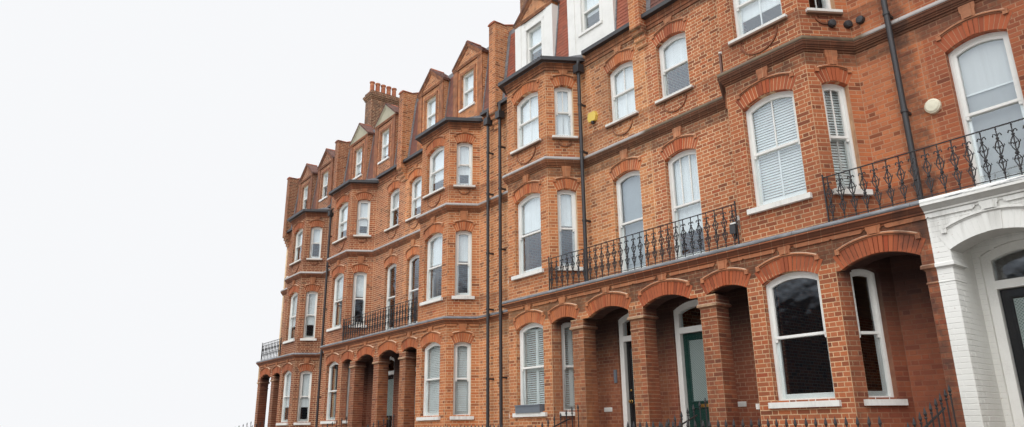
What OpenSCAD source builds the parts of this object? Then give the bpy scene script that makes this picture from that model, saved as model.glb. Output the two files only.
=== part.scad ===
// Row of six brick terraced houses with canted bays, an arcaded porch to each pair of front doors,
// iron balcony rails over the arcade, and dormered mansards between raised party walls.
// Units are millimetres. The model stands on z = 0, with the middle party wall on x = 0.
// Inside the modules y = 0 is the outer face of the main front wall, and the bays stand forward of it.

/* [House] */
// Width of a house between party lines
house_w = 5780; // [5500:20:6200]
// Thickness of a party wall
party_t = 330; // [220:10:400]
// Depth of a house from the front wall face to the rear wall face
depth = 9600; // [8000:100:12000]
// Thickness of the outer walls
wall_t = 340; // [300:10:400]
// Thickness of a floor
floor_t = 220; // [150:10:300]

/* [Levels] */
// Top of the ground floor
ground_z = 1000; // [800:10:1100]
// Height from the ground floor to the balcony lead
ground_storey = 3590; // [3500:10:3800]
// Height from the balcony lead to the top of the second floor
first_storey = 3380; // [3300:10:3600]
// Height from the second floor to the attic floor
second_storey = 2900; // [2800:10:3100]
// Height from the attic floor to the underside of the flat roof
attic_h = 2330; // [2200:10:2600]

/* [Bay] */
// Width of the strip behind the front door, clear of which the bay stands in the middle
hall_w = 1180; // [1100:10:1300]
// Width of the front face of the bay
bay_face_w = 1640; // [1500:10:1700]
// Width of the bay where it meets the front wall
bay_root_w = 2600; // [2500:10:2700]
// How far the bay stands out from the front wall
bay_out = 810; // [700:10:900]
// Thickness of the bay walls
bay_t = 300; // [220:10:320]

/* [Windows] */
// Width of the window in the face of the bay
face_win_w = 1040; // [900:10:1100]
// Width of the window in each canted side of the bay
side_win_w = 480; // [400:10:560]
// Width of the window over the front door
flat_win_w = 860; // [750:10:950]
// Height of the ground floor sills above the ground floor
sill_ground = 870; // [800:10:1000]
// Height of the first floor bay sills above the balcony lead
sill_first = 600; // [500:10:700]
// Height of the balcony window foot above the balcony lead
sill_balcony = 250; // [150:10:350]
// Height of the second floor sills above the second floor
sill_second = 590; // [500:10:700]
// Height of the ground floor arch springing above the ground floor
spring_ground = 2830; // [2750:10:2900]
// Height of the first floor arch springing above the balcony lead
spring_first = 2520; // [2400:10:2600]
// Height of the second floor arch springing above the second floor
spring_second = 1960; // [1850:10:2050]
// Rise of an arch as a share of its span
arch_rise = 0.13; // [0.08:0.01:0.2]
// Depth of the rubbed brick arches on the wall face
arch_ring = 250; // [200:10:300]
// Thickness of the rubbed brick arches into the wall
arch_t = 110; // [80:10:150]
// How far those arches stand proud of the wall
arch_proud = 6; // [4:1:12]
// Distance from the wall face to the window frame
reveal = 110; // [80:5:150]
// Depth of a window frame
frame_t = 110; // [90:5:140]
// Width of a window frame seen from outside
frame_w = 55; // [40:5:80]
// Width of a sash stile and rail
sash_w = 48; // [40:2:60]
// Thickness of a sash
sash_t = 40; // [30:2:50]
// Thickness of the glass
glass_t = 6; // [4:1:10]
// Height of a window sill
sill_h = 90; // [60:5:120]
// How far a window sill stands out from the wall
sill_out = 70; // [40:5:100]
// How far a window sill runs past each side of its window
sill_ear = 90; // [50:5:150]

/* [Door] */
// Distance from the door side party line to the middle of the door
door_u = 800; // [780:5:840]
// Width of the doorway
doorway_w = 1100; // [1060:10:1160]
// Width of the door
door_w = 840; // [800:10:900]
// Height of the door
door_h = 2320; // [2100:10:2400]
// Thickness of the door
door_t = 45; // [40:1:60]
// Height of the rail between the door and the fanlight
transom_h = 120; // [80:5:140]
// Gap round the door
door_gap = 8; // [8:1:12]
// Radius of the hinge knuckles
knuckle_r = 8; // [6:1:12]

/* [Arcade] */
// Width of a porch column
column_w = 400; // [360:10:450]
// Height of the square base of a column
column_base_h = 250; // [200:10:300]
// Width of the arch in front of a door
door_arch_w = 1180; // [1100:10:1250]
// Height of the impost ring below the arch springing
impost_drop = 210; // [150:10:260]
// Height of the cornice over the ground floor
cornice_h = 160; // [120:10:200]
// How far the cornice stands out
cornice_out = 110; // [80:10:140]
// Thickness of the balcony deck and the lead over the cornice
deck_t = 90; // [60:5:120]

/* [Balcony rail] */
// Height of the balcony rail above the deck
rail_h = 780; // [700:10:900]
// Spacing of the balusters
baluster_gap = 190; // [150:5:230]
// Thickness of an iron bar
bar = 18; // [14:1:26]
// Radius of the ring in each baluster
ring_r = 58; // [45:1:70]

/* [Steps] */
// Number of risers from the ground to the porch
risers = 6; // [5:1:7]
// Going of a step
going = 300; // [270:5:330]
// Width of the low wall at each side of the steps
cheek_w = 180; // [150:10:250]
// Height of the railing on the steps and along the front
fence_h = 1150; // [1000:10:1250]
// Spacing of the railing bars
fence_gap = 135; // [115:5:160]
// Distance from the front wall face to the front railing
fence_out = 2950; // [2850:10:3300]
// Height of the low wall under the front railing
dwarf_h = 450; // [300:10:600]
// Thickness of the low wall under the front railing
dwarf_t = 220; // [180:10:300]

/* [Strings and sills] */
// Height of the brick string over the first floor
string_h = 200; // [150:10:250]
// How far the brick string stands out
string_out = 90; // [60:10:120]
// Thickness of the lead on the string
lead_t = 100; // [60:5:120]
// How far the lead stands out past the brick below it
lead_out = 30; // [20:5:50]
// How far the eaves lie under the attic floor
eaves_drop = 150; // [100:10:200]
// How far the head of a bay lies under the eaves
bay_drop = 120; // [80:10:160]
// Height of the brick band under the eaves
eaves_band_h = 250; // [200:10:300]
// Height of the brick band round the head of a bay
bay_band_h = 200; // [150:10:240]
// How far those bands stand out
eaves_band_out = 70; // [50:5:90]
// How far a hood mould stands out from the wall
hood_out = 45; // [30:5:60]
// Height of a hood mould
hood_h = 60; // [40:5:80]
// How far a hood mould runs past each side of its opening
hood_reach = 130; // [90:5:140]
// Width of the block over each arch
block_w = 230; // [180:10:280]

/* [Roof] */
// How far the steep front slope leans back over its height
slope_back = 260; // [200:10:500]
// Thickness of the tiled slope
slope_t = 150; // [120:10:200]
// Distance from the middle of a house to the middle of each dormer
dormer_u = 1170; // [1100:10:1250]
// Width of a dormer
dormer_w = 1680; // [1500:10:1750]
// Thickness of the cheeks and the ceiling of a dormer
cheek_t = 110; // [90:5:150]
// Thickness of the roof of a dormer
dormer_roof_t = 60; // [50:5:100]
// How far the roof of a dormer runs past its face and sides
dormer_over = 60; // [40:5:80]
// Distance from the dormer face to its window frame
dormer_reveal = 60; // [40:5:80]
// Thickness of the dormer front
dormer_t = 200; // [150:10:250]
// Height of the dormer eaves above the attic floor
dormer_eaves = 2250; // [2150:10:2300]
// Height of a dormer gable
gable_h = 660; // [500:10:750]
// Width of a dormer window
dormer_win_w = 700; // [600:10:800]
// Height of a dormer window
dormer_win_h = 1240; // [1100:10:1300]
// Height of the dormer sills above the attic floor
dormer_sill = 600; // [500:10:700]
// Thickness of the flat roof
roof_t = 160; // [120:10:200]
// Height of the party walls above the flat roof
upstand_h = 320; // [250:10:600]
// How far the head of a party wall is corbelled out
kneeler_out = 260; // [200:10:320]
// Height of the corbels under the head of a party wall
kneeler_h = 550; // [400:10:700]
// Number of corbel courses under the head of a party wall
kneeler_steps = 4; // [3:1:6]
// Distance from the eaves down to the top of those corbels
kneeler_drop = 200; // [150:10:250]
// Drop of the head of a party wall below its middle
head_drop = 150; // [100:10:200]
// How far the level head of a party wall runs back behind the wall face
head_flat = 100; // [60:10:150]
// Length of the ramp behind that head
head_run = 400; // [300:10:500]
// Thickness of the coping on the party walls
coping_t = 70; // [50:5:100]
// How far the coping runs past the party wall under it
coping_out = 30; // [20:5:50]
// Width of a chimney stack along the row
stack_w = 620; // [500:10:700]
// Depth of a chimney stack
stack_d = 1400; // [1200:10:1800]
// Height of a chimney stack above the party wall
stack_h = 2550; // [2000:10:2800]
// Number of pots on a stack
pots = 5; // [3:1:6]
// Height of a chimney pot
pot_h = 560; // [400:10:700]

// Distance from the wall face to the front of a chimney stack
stack_y = 1100; // [900:50:2000]
// Height of a corbel course at the head of a stack
stack_course = 75; // [60:5:90]
// How far each of those courses stands out
stack_corbel = 35; // [25:5:50]
// Radius of a chimney pot at its foot
pot_r = 130; // [110:5:150]
// Radius of the bore of a chimney pot
pot_bore = 85; // [60:5:95]
// How far the roof of a bay runs past its walls
roof_edge = 90; // [75:5:120]

/* [Rainwater] */
// Width of a gutter
gutter_w = 130; // [100:5:150]
// Height of a gutter
gutter_h = 100; // [80:5:130]
// Thickness of the iron of a gutter
gutter_t = 12; // [8:1:15]
// Width of the hopper at the head of a downpipe
hopper_w = 200; // [150:10:220]
// Height of that hopper
hopper_h = 220; // [180:10:300]
// How far a collar stands out from its pipe
collar_out = 12; // [8:1:15]
// Radius of a downpipe
pipe_r = 45; // [35:1:55]

/* [Hidden] */

// The houses from left to right: 1 where the bay stands at the right of the door
bay_right = [1, 0, 1, 0, 1, 1];
houses = len(bay_right);
// House with a porch arch on both sides of its bay, and which sides of a bay face the open or a porch
far_house = 4;
function open_sides(i) = i == far_house ? [] : [1];
function porch_sides(i) = i == far_house ? [1, -1] : [-1];
row_w = houses * house_w;
first_z = ground_z + ground_storey;
second_z = first_z + first_storey;
attic_z = second_z + second_storey;
roof_z = attic_z + attic_h;
eaves_z = attic_z - eaves_drop;
bay_top_z = eaves_z - bay_drop;
upstand_z = roof_z + roof_t + upstand_h;
head_z = upstand_z - head_drop;
eps = 1;
joint = 3;
arc_fn = 180;
// How far below its springing the head of an arch is drawn
arch_lap = 20;

// Distance from the door side party line to the middle of the bay
bay_u = (house_w + hall_w) / 2;
// Clearance between pieces that meet at a slant or under a moulding
seat_gap = 0.3;
// Half widths of the bay, and the slope of its canted sides
face_half = bay_face_w / 2;
root_half = bay_root_w / 2;
cant_k = (root_half - face_half) / bay_out;
cant_len = norm([root_half - face_half, bay_out]);
cant_angle = atan2(bay_out, root_half - face_half);
cant_mid = [(root_half + face_half) / 2, -bay_out / 2];
bay_in = root_half - bay_t * cant_len / bay_out;

// Door side party line of house i, and the side its bay lies on
function line_x(i) = -row_w / 2 + i * house_w;
// Half width at depth y of the bay outline moved outwards by e
function side_x(y, e) = face_half + (y + bay_out) * cant_k + e * cant_len / bay_out;

// Foremost and rearmost faces, for the middle of the whole footprint
front_y = -fence_out - dwarf_t / 2;
rear_y = depth + kneeler_out + coping_out;
mid_y = (front_y + rear_y) / 2;

module place() translate([0, -mid_y, 0]) children();

// Puts children, drawn from the door side party line towards the bay, in house i
module in_house(i) {
  if (bay_right[i] == 1) translate([line_x(i), 0, 0]) children();
  else translate([line_x(i + 1), 0, 0]) mirror([1, 0, 0]) children();
}

module each_house() for (i = [0 : houses - 1]) in_house(i) children();

// Turns a drawing of the elevation upright, from y to y + t
module upright(y, t) translate([0, y + t, 0]) rotate([90, 0, 0]) linear_extrude(t) children();

// Children stand on the face and on both canted sides of a bay
module on_bay_face() translate([bay_u, -bay_out, 0]) children();
module on_bay_sides(sides = [1, -1]) for (s = sides)
  translate([bay_u, 0, 0]) scale([s, 1, 1]) translate(cant_mid) rotate([0, 0, cant_angle]) children();

// Segmental head of an opening w wide that springs at zs; the drawing stands on z0 and may be
// moved in by d all round its sides and head
function arch_radius(w) = w * (1 / 4 + arch_rise * arch_rise) / (2 * arch_rise);
module arch_shape(w, z0, zs, d = 0) {
  h = w * arch_rise;
  r = arch_radius(w);
  cut = zs - d - arch_lap;
  difference() {
    translate([-w / 2 + d, z0]) square([w - 2 * d, zs + h - d - z0]);
    difference() {
      translate([-w / 2, cut]) square([w, zs + h - cut]);
      translate([0, zs + h - r]) circle(r - d, $fn = arc_fn);
    }
  }
}

// Band of depth d over an arch, starting gap above it
module arch_band(w, zs, gap, d) {
  r = arch_radius(w);
  a = asin(w / 2 / r);
  reach = 2 * (r + gap + d);
  translate([0, zs + w * arch_rise - r]) intersection() {
    difference() {
      circle(r + gap + d, $fn = arc_fn);
      circle(r + gap, $fn = arc_fn);
    }
    polygon([[0, 0], [reach * sin(a), reach * cos(a)], [-reach * sin(a), reach * cos(a)]]);
  }
}

// Storeys of windows: sill and springing of the bay, then of the window over the door
bay_levels = [[ground_z + sill_ground, ground_z + spring_ground],
  [first_z + sill_first, first_z + spring_first],
  [second_z + sill_second, second_z + spring_second]];
flat_levels = [[first_z + sill_balcony, first_z + spring_first],
  [second_z + sill_second, second_z + spring_second]];

// Cuts one window through a wall whose outer face is y = 0, with the seat of its brick arch if any
module window_cut(w, level, t, seat = true) {
  upright(-eps, t + 2 * eps) arch_shape(w, level[0], level[1]);
  if (seat) upright(-eps, arch_t + eps) arch_band(w, level[1], -eps, arch_ring + eps);
}

module party_walls() color("chocolate") for (i = [0 : houses])
  translate([line_x(i) - party_t / 2, 0, 0]) rotate([90, 0, 90]) linear_extrude(party_t)
    party_shape();

// Section of a party wall: corbelled heads at front and rear, and a low ramp up to the roof part
module party_shape() {
  n = kneeler_steps;
  front = [for (k = [0 : n], j = [0, 1]) if (k + j > 0 && k + j <= n)
    [-kneeler_out * (n - k) / n, eaves_z - kneeler_drop - kneeler_h * (k + j - 1) / n]];
  head = [[-kneeler_out, head_z], [head_flat, head_z], [head_flat + head_run, upstand_z]];
  polygon(concat([[0, 0]], [for (k = [len(front) - 1 : -1 : 0]) front[k]], head,
    [for (k = [len(head) - 1 : -1 : 0]) [depth - head[k][0], head[k][1]]],
    [for (p = front) [depth - p[0], p[1]]], [[depth, 0]]));
}

module party_copings() color("firebrick") for (i = [0 : houses])
  translate([line_x(i) - party_t / 2 - coping_out, 0, 0]) rotate([90, 0, 90])
    linear_extrude(party_t + 2 * coping_out)
    difference() {
      translate([0, coping_t]) coping_line();
      coping_line();
    }

module coping_line() {
  e = kneeler_out + coping_out;
  half = [[-e, roof_z], [-e, head_z], [head_flat, head_z], [head_flat + head_run, upstand_z]];
  polygon(concat(half, [for (k = [len(half) - 1 : -1 : 0]) [depth - half[k][0], half[k][1]]]));
}

// Masonry below the ground floor, under the doorway
module plinth_walls() color("chocolate") each_house()
  translate([party_t / 2, 0, 0]) cube([bay_u - bay_in - party_t / 2, wall_t, ground_z]);

// Wall at each side of the doorway, up to its springing
module door_side_walls() color("chocolate") each_house() {
  left = door_u - doorway_w / 2;
  right = door_u + doorway_w / 2;
  translate([party_t / 2, 0, ground_z]) cube([left - party_t / 2, wall_t, spring_ground]);
  translate([right, 0, ground_z]) cube([bay_u - bay_in - right, wall_t, spring_ground]);
}

// Wall over the doorway, up to the eaves
module upper_front_walls() color("chocolate") each_house() difference() {
  z0 = ground_z + spring_ground;
  translate([party_t / 2, 0, z0]) cube([bay_u - bay_in - party_t / 2, wall_t, eaves_z - z0]);
  translate([door_u, 0, 0]) upright(-eps, wall_t + 2 * eps)
    arch_shape(doorway_w, ground_z, z0);
  for (level = flat_levels) translate([door_u, 0, 0]) window_cut(flat_win_w, level, wall_t);
}

module bay_front_walls() color("chocolate") each_house() difference() {
  translate([bay_u, 0, 0]) linear_extrude(bay_top_z) polygon([[-face_half, -bay_out],
    [face_half, -bay_out], [side_x(-bay_out + bay_t, -bay_t), -bay_out + bay_t],
    [-side_x(-bay_out + bay_t, -bay_t), -bay_out + bay_t]]);
  on_bay_face() for (level = bay_levels) window_cut(face_win_w, level, bay_t);
}

module bay_side_walls() color("chocolate") for (i = [0 : houses - 1]) in_house(i) difference() {
  translate([bay_u, 0, 0]) for (s = [1, -1]) scale([s, 1, 1]) linear_extrude(bay_top_z)
    polygon([[face_half, -bay_out], [root_half, 0], [bay_in, 0],
      [side_x(-bay_out + bay_t, -bay_t), -bay_out + bay_t]]);
  on_bay_sides() for (level = [bay_levels[1], bay_levels[2]]) window_cut(side_win_w, level, bay_t);
  on_bay_sides(open_sides(i)) window_cut(side_win_w, bay_levels[0], bay_t);
  on_bay_sides(porch_sides(i)) window_cut(side_win_w, bay_levels[0], bay_t, false);
}

// Plain wall between the bay and the party wall on its far side
module bay_flank_walls() color("chocolate") each_house() translate([bay_u + bay_in, 0, 0])
  cube([house_w - party_t / 2 - bay_u - bay_in, wall_t, eaves_z]);

rear_u = [1500, 4000];
module rear_walls() color("chocolate") each_house() difference() {
  translate([party_t / 2, depth - wall_t, 0]) cube([house_w - party_t, wall_t, eaves_z]);
  for (u = rear_u, level = bay_levels)
    translate([u, depth, 0]) rotate([0, 0, 180]) window_cut(flat_win_w, level, wall_t);
}

// Floor between the party walls, run forward into the bay
module floor_slab(top) each_house() translate([0, 0, top - floor_t]) linear_extrude(floor_t) {
  inner = side_x(-bay_out + bay_t, -bay_t) - 2 * seat_gap;
  root = bay_in - 2 * seat_gap;
  polygon([[party_t / 2, wall_t], [bay_u - root, wall_t], [bay_u - root, 0],
    [bay_u - inner, -bay_out + bay_t], [bay_u + inner, -bay_out + bay_t], [bay_u + root, 0],
    [bay_u + root, wall_t], [house_w - party_t / 2, wall_t],
    [house_w - party_t / 2, depth - wall_t], [party_t / 2, depth - wall_t]]);
}
module floors() color("burlywood") {
  for (top = [ground_z, first_z, second_z]) floor_slab(top);
  each_house() translate([party_t / 2, 0, eaves_z]) cube([house_w - party_t, depth, attic_z - eaves_z]);
}

// Stretches of arcade along the row: left end, right end, then the middles and widths of the arches
half_col = column_w / 2;
side_arch_w = bay_u - face_half - column_w - door_arch_w - half_col;
door_arch_u = half_col + door_arch_w / 2;
side_arch_u = half_col + door_arch_w + column_w + side_arch_w / 2;
bay_edge = bay_u - face_half;
far_edge = house_w - bay_u - face_half;
// Width of the pier between the bay and that far arch
pier_w = 100;
far_arch_w = far_edge - half_col - pier_w;
// One stretch per meeting of door sides, as [party line, has a house on the left, on the right,
// has an arch towards the far side of the bay on the left]
arcades = [[line_x(0), 0, 1, 0], [line_x(2), 1, 1, 0], [line_x(4), 1, 1, 0], [line_x(5), 0, 1, 1]];

function arcade_x0(a) = a[0] - (a[1] == 1 ? bay_edge : a[3] == 1 ? far_edge : party_t / 2);
function arcade_x1(a) = a[0] + bay_edge;
function arcade_arches(a) = concat(
  a[1] == 1 ? [[a[0] - door_arch_u, door_arch_w], [a[0] - side_arch_u, side_arch_w]] : [],
  a[2] == 1 ? [[a[0] + door_arch_u, door_arch_w], [a[0] + side_arch_u, side_arch_w]] : [],
  a[3] == 1 ? [[a[0] - half_col - far_arch_w / 2, far_arch_w]] : []);
function arcade_columns(a) = concat([a[0]],
  a[1] == 1 ? [a[0] - 1.5 * column_w - door_arch_w] : [],
  a[2] == 1 ? [a[0] + 1.5 * column_w + door_arch_w] : []);

// Prisms of all the bays, for cutting what meets them
module bay_prisms(e, z0, z1) each_house() translate([bay_u, 0, z0]) linear_extrude(z1 - z0)
  polygon([[-side_x(-bay_out - e, e), -bay_out - e], [side_x(-bay_out - e, e), -bay_out - e],
    [side_x(0, e), 0], [-side_x(0, e), 0]]);

module porch_plinths() color("chocolate") difference() {
  for (a = arcades) translate([arcade_x0(a), -bay_out, 0])
    cube([arcade_x1(a) - arcade_x0(a), column_w, ground_z - deck_t]);
  bay_prisms(0, -eps, ground_z);
}

module porch_floors() color("darkgray") difference() {
  for (a = arcades) translate([arcade_x0(a), -bay_out, ground_z - deck_t])
    cube([arcade_x1(a) - arcade_x0(a), bay_out, deck_t]);
  bay_prisms(0, ground_z - deck_t - eps, ground_z + eps);
}

// Columns of the arcade, the first halved at the end of the row and the last backed by a wall
module porch_columns() color("chocolate") {
  intersection() {
    column_set();
    translate([line_x(0) - party_t / 2, -2 * bay_out, 0]) cube([row_w, 2 * bay_out, first_z]);
  }
  translate([line_x(5) - party_t / 2, -bay_out + column_w, ground_z])
    cube([party_t, bay_out - column_w, first_z - deck_t - ground_z]);
}
module column_set() for (a = arcades, x = arcade_columns(a)) {
  w = column_w - 40;
  ring_z = ground_z + spring_ground - impost_drop;
  cap_h = ground_z + spring_ground - ring_z;
  translate([x, -bay_out + column_w / 2, 0]) {
    translate([-w / 2, -w / 2, ground_z]) cube([w, w, ring_z - ground_z]);
    translate([-column_w / 2, -column_w / 2, ring_z + 40])
      cube([column_w, column_w, cap_h - 40]);
    translate([-column_w / 2 - 25, -column_w / 2 - 25, ring_z])
      cube([column_w + 50, column_w + 50, 40]);
    translate([-column_w / 2, -column_w / 2, ground_z]) cube([column_w, column_w, column_base_h]);
  }
}

module porch_arches() color("orangered") difference() {
  z0 = ground_z + spring_ground;
  for (a = arcades) translate([arcade_x0(a), -bay_out, z0])
    cube([arcade_x1(a) - arcade_x0(a), column_w, first_z - deck_t - z0]);
  for (a = arcades, h = arcade_arches(a)) translate([h[0], 0, 0])
    upright(-bay_out - eps, column_w + 2 * eps) arch_shape(h[1], z0 - eps, z0);
  bay_prisms(0, ground_z, first_z);
}

module balcony_decks() color("slategray") difference() {
  for (a = arcades) translate([arcade_x0(a), -bay_out - cornice_out - lead_out, first_z - deck_t])
    cube([arcade_x1(a) - arcade_x0(a), bay_out + cornice_out + lead_out, deck_t]);
  bay_prisms(0, first_z - deck_t - eps, first_z + eps);
}

// Band along the ground floor front, e deep: arcade, bay and flank
module ground_band(i, e) {
  u0 = i == 0 ? -party_t / 2 : joint;
  u1 = house_w - joint;
  u2 = house_w - party_t / 2;
  polygon(concat([[u0, -bay_out], [u0, -bay_out - e]],
    i == far_house ? [[u1, -bay_out - e], [u1, -bay_out]]
      : [[bay_u + side_x(-bay_out - e, e), -bay_out - e], [bay_u + side_x(-e, e), -e],
        [u2, -e], [u2, 0], [bay_u + root_half, 0], [bay_u + face_half, -bay_out]]));
}

module ground_cornice() color("orangered") for (i = [0 : houses - 1]) in_house(i)
  translate([0, 0, first_z - deck_t - cornice_h]) {
    linear_extrude(cornice_h) ground_band(i, cornice_out * 0.6);
    translate([0, 0, cornice_h / 2]) linear_extrude(cornice_h / 2) ground_band(i, cornice_out);
  }

// Lead over the cornice on the bays and beyond them, level with the balcony decks
module cornice_lead() for (i = [0 : houses - 1]) in_house(i) {
  e = cornice_out + lead_out;
  u2 = house_w - party_t / 2;
  translate([0, 0, first_z - deck_t]) linear_extrude(deck_t)
    polygon(concat([[bay_u - face_half, -bay_out], [bay_u - face_half, -bay_out - e]],
      i == far_house ? [[bay_u + face_half, -bay_out - e], [bay_u + face_half, -bay_out]]
        : [[bay_u + side_x(-bay_out - e, e), -bay_out - e], [bay_u + side_x(-e, e), -e],
          [u2, -e], [u2, 0], [bay_u + root_half, 0], [bay_u + face_half, -bay_out]]));
}

// Band round the front above the ground floor, e deep: door side, bay and flank, from party line to party line
module upper_band(e, z, h) for (i = [0 : houses - 1]) in_house(i)
  let (u0 = i == 0 ? -party_t / 2 : joint, u1 = house_w + (i == houses - 1 ? party_t / 2 : -joint))
    translate([0, 0, z]) linear_extrude(h) polygon([[u0, 0], [u0, -e],
      [bay_u - side_x(-e, e), -e], [bay_u - side_x(-bay_out - e, e), -bay_out - e],
      [bay_u + side_x(-bay_out - e, e), -bay_out - e], [bay_u + side_x(-e, e), -e],
      [u1, -e], [u1, 0], [bay_u + root_half, 0], [bay_u + face_half, -bay_out],
      [bay_u - face_half, -bay_out], [bay_u - root_half, 0]]);

module first_string() {
  upper_band(string_out / 2, second_z - lead_t - string_h, string_h / 2);
  upper_band(string_out, second_z - lead_t - string_h / 2, string_h / 2);
}

module lead_flashings() color("slategray") {
  cornice_lead();
  upper_band(string_out + lead_out, second_z - lead_t, lead_t);
}

// Plain bands under the eaves and round the heads of the bays
module eaves_bands() {
  e = eaves_band_out;
  difference() {
    each_house() for (span = [[party_t / 2 + seat_gap, bay_u - side_x(-e, e)],
        [bay_u + side_x(-e, e), house_w - party_t / 2 - seat_gap]])
      translate([span[0], -e, eaves_z - eaves_band_h]) cube([span[1] - span[0], e, eaves_band_h]);
    bay_prisms(roof_edge + gutter_w, bay_top_z, eaves_z + eps);
  }
  difference() {
    bay_prisms(e, bay_top_z - bay_band_h, bay_top_z);
    bay_prisms(0, bay_top_z - bay_band_h - eps, bay_top_z + eps);
  }
}

module brick_strings() color("orangered") {
  first_string();
  eaves_bands();
}

module brick_arch(w, level) upright(-arch_proud, arch_t + arch_proud)
  arch_band(w, level[1], 0, arch_ring);
module brick_arches() color("orangered") for (i = [0 : houses - 1]) in_house(i) {
  on_bay_face() for (level = bay_levels) brick_arch(face_win_w, level);
  on_bay_sides() for (k = [1 : 2]) brick_arch(side_win_w, bay_levels[k]);
  on_bay_sides(open_sides(i)) brick_arch(side_win_w, bay_levels[0]);
  translate([door_u, 0, 0]) for (level = flat_levels) brick_arch(flat_win_w, level);
}

// Hood mould over an arch, with its block up to the band at z_top
module hood(w, zs, z_top) upright(-hood_out, hood_out) {
  crown = zs + w * arch_rise + arch_ring + hood_h / 2;
  reach = w / 2 + hood_reach;
  intersection() {
    arch_band(w, zs, arch_ring, hood_h);
    translate([-reach, zs]) square([2 * reach, w]);
  }
  translate([-block_w / 2, crown]) square([block_w, z_top - crown]);
}

bay_tops = [for (z = [first_z - deck_t - cornice_h, second_z - lead_t - string_h, bay_top_z - bay_band_h])
  z - seat_gap];
flat_tops = [for (z = [second_z - lead_t - string_h, eaves_z - eaves_band_h]) z - seat_gap];
module hood_moulds() color("orangered") {
  for (i = [0 : houses - 1]) in_house(i) {
    on_bay_face() for (k = [0 : 2]) hood(face_win_w, bay_levels[k][1], bay_tops[k]);
    on_bay_sides() for (k = [1 : 2]) hood(side_win_w, bay_levels[k][1], bay_tops[k]);
    on_bay_sides(open_sides(i)) hood(side_win_w, bay_levels[0][1], bay_tops[0]);
    translate([door_u, 0, 0]) for (k = [0 : 1]) hood(flat_win_w, flat_levels[k][1], flat_tops[k]);
  }
  for (a = arcades, h = arcade_arches(a)) translate([h[0], -bay_out, 0])
    hood(h[1], ground_z + spring_ground, bay_tops[0]);
}

module sill(w, z) translate([-w / 2 - sill_ear, -sill_out, z - sill_h])
  cube([w + 2 * sill_ear, sill_out, sill_h]);

module window_sills() color("ivory") each_house() {
  on_bay_face() for (level = bay_levels) sill(face_win_w, level[0]);
  on_bay_sides() for (level = bay_levels) sill(side_win_w, level[0]);
  translate([door_u, 0, 0]) sill(flat_win_w, flat_levels[1][0]);
  for (u = rear_u, level = bay_levels)
    translate([u, depth, 0]) rotate([0, 0, 180]) sill(flat_win_w, level[0]);
}

// Drooping brick moulding under the second floor windows
swag_band = 60;
swag_out = 30;
swag_share = 0.8;
module swag(w, z) upright(-swag_out, swag_out) translate([0, z]) scale([1, 0.5]) difference() {
  circle(r = w / 2, $fn = 48);
  circle(r = w / 2 - swag_band, $fn = 48);
  translate([-w, 0]) square([2 * w, w]);
}
module swags() color("orangered") each_house() {
  z = second_z + sill_second - sill_h - swag_band;
  on_bay_face() swag(face_win_w * swag_share, z);
  on_bay_sides() swag(side_win_w * swag_share, z);
  translate([door_u, 0, 0]) swag(flat_win_w * swag_share, z);
}

// Sliding sash window that fills an opening: box frame, upper sash outside, lower sash inside
function sash_mid(w, level) = (level[0] + level[1] + w * arch_rise) / 2;
module sash_window(w, level) {
  z0 = level[0] + frame_w;
  zs = level[1];
  mid = sash_mid(w, level);
  inner = w - 2 * frame_w;
  pane = inner - 2 * sash_w;
  upright(reveal, frame_t) difference() {
    arch_shape(w, level[0], zs);
    arch_shape(w, z0, zs, frame_w);
  }
  glass_y = reveal + frame_t / 2 - glass_t / 2;
  upright(glass_y - sash_t, sash_t) difference() {
    arch_shape(w, mid - sash_w / 2, zs, frame_w);
    arch_shape(w, mid + sash_w / 2, zs, frame_w + sash_w);
  }
  upright(glass_y + glass_t, sash_t) difference() {
    translate([-inner / 2, z0]) square([inner, mid + sash_w / 2 - z0]);
    translate([-pane / 2, z0 + 1.6 * sash_w]) square([pane, mid - z0 - 2.1 * sash_w]);
  }
}
// Sheet of glass between the two sashes
module sash_glass(w, level) upright(reveal + frame_t / 2 - glass_t / 2, glass_t)
  arch_shape(w, level[0] + frame_w, level[1], frame_w);

// Window of the rear wall: frame and meeting rail in one, and its two panes
module plain_panes(w, level) {
  inner = w - 2 * frame_w;
  z0 = level[0] + frame_w;
  arch_shape(w, sash_mid(w, level) + sash_w / 2, level[1], frame_w);
  translate([-inner / 2, z0]) square([inner, sash_mid(w, level) - sash_w / 2 - z0]);
}
module plain_window(w, level) upright(reveal, frame_t) difference() {
  arch_shape(w, level[0], level[1]);
  plain_panes(w, level);
}
module plain_glass(w, level) upright(reveal + frame_t / 2, glass_t) plain_panes(w, level);

module front_windows() color("white") each_house() {
  for (level = bay_levels) {
    on_bay_face() sash_window(face_win_w, level);
    on_bay_sides() sash_window(side_win_w, level);
  }
  translate([door_u, 0, 0]) for (level = flat_levels) sash_window(flat_win_w, level);
}
module rear_windows() color("white") each_house() for (u = rear_u, level = bay_levels)
  translate([u, depth, 0]) rotate([0, 0, 180]) plain_window(flat_win_w, level);

module window_glass() color("lightblue") {
  each_house() {
    for (level = bay_levels) {
      on_bay_face() sash_glass(face_win_w, level);
      on_bay_sides() sash_glass(side_win_w, level);
    }
    translate([door_u, 0, 0]) for (level = flat_levels) sash_glass(flat_win_w, level);
    fanlight_glass();
    for (u = rear_u, level = bay_levels)
      translate([u, depth, 0]) rotate([0, 0, 180]) plain_glass(flat_win_w, level);
  }
  each_dormer() dormer_glass();
}

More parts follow.
